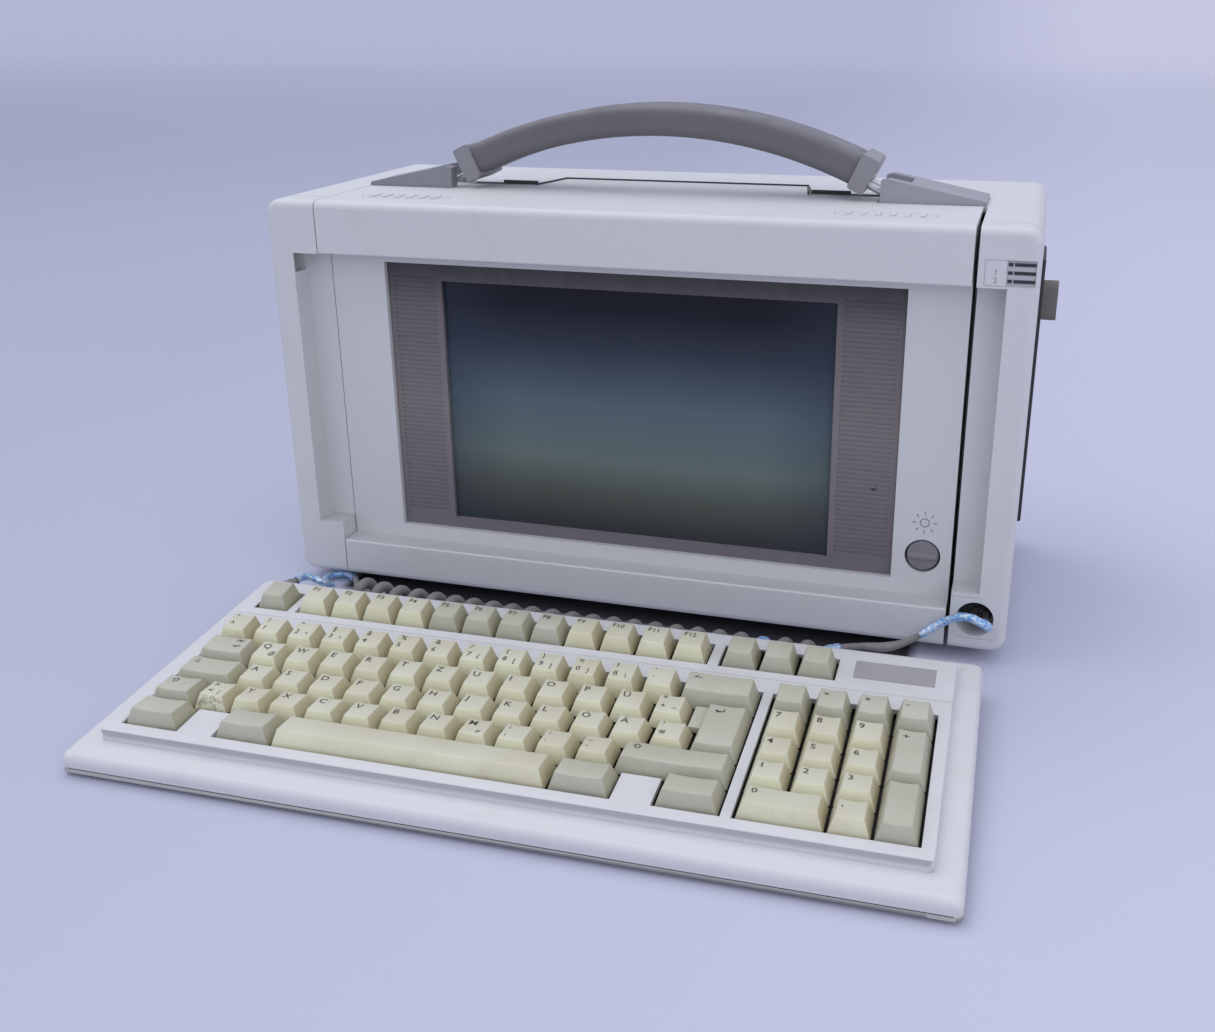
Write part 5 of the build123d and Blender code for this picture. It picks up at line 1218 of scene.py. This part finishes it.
def stage_material():
    """Pale floor with painted light: darker to the left and near, paler to the right and far off. Under
    the case the camera sees it almost black: painted deep shade.
    """
    finish = Finish("studio_sweep")
    x, y, z = finish.split(finish.place())
    # Painted light across the floor: darker to the left and near, paler to the right and far off.
    side = x.ramp(-0.6, 0.4)
    near = finish.mix(side, (0.436, 0.460, 0.560), (0.596, 0.604, 0.712))
    distant = finish.mix(side, (0.724, 0.725, 0.816), (0.875, 0.868, 0.924))
    pale = finish.mix((y + z).ramp(0.6, 7.5), near, distant)
    seen = finish.node("ShaderNodeLightPath", {}, {}, "Is Camera Ray")
    under_case = soft_strip(x, y, *UNDER_CASE, SHADE_BORDER) * seen
    finish.set("Specular IOR Level", 0.1)
    return finish.done(finish.mix(under_case * 0.97, pale, (0.020, 0.017, 0.018)), 0.9)


def make_stage():
    floor = primitive("plane", Matrix.Diagonal((60, 14, 1, 1)))
    pick_vertices(floor, lambda co: co.y > 1)
    steps, step = 18, 0.32
    for k in range(steps):
        turn = radians(90) * (k + 0.5) / steps
        extrude((0, step * cos(turn), step * sin(turn)))
    extrude((0, 0, 6))
    close()
    floor.name = "studio_floor"
    paint(floor, stage_material())
    for face in floor.data.polygons:
        face.use_smooth = True


def area_light(name, place, target, size, power, colour):
    data = bpy.data.lights.new(name, "AREA")
    data.shape = "RECTANGLE"
    data.size, data.size_y = size
    data.energy = power
    data.color = colour
    light = bpy.data.objects.new(name, data)
    light.visible_camera = False
    link(light)
    place, target = Vector(place), Vector(target)
    turn = (target - place).to_track_quat("-Z", "Y")
    light.matrix_world = Matrix.Translation(place) @ turn.to_matrix().to_4x4()


def make_light():
    scene = bpy.context.scene
    scene.view_settings.view_transform = "Standard"
    world = bpy.data.worlds.new("studio")
    world.use_nodes = True
    background = world.node_tree.nodes["Background"]
    background.inputs[0].default_value = (0.80, 0.83, 1.0, 1)
    background.inputs[1].default_value = 0.85
    scene.world = world
    area_light("key_softbox", (-0.75, 0.15, 1.9), (0, 0.0, 0.05), (1.8, 1.4), 8.4, (1.0, 0.99, 0.97))
    area_light("fill_softbox", (1.1, -1.2, 0.9), (0, 0.0, 0.1), (1.0, 1.0), 2.8, (0.97, 0.98, 1.0))
    area_light("top_softbox", (0, 0.2, 2.6), (0, 0, 0), (3.2, 3.2), 13, (0.97, 0.98, 1.0))


make_stage()
make_light()
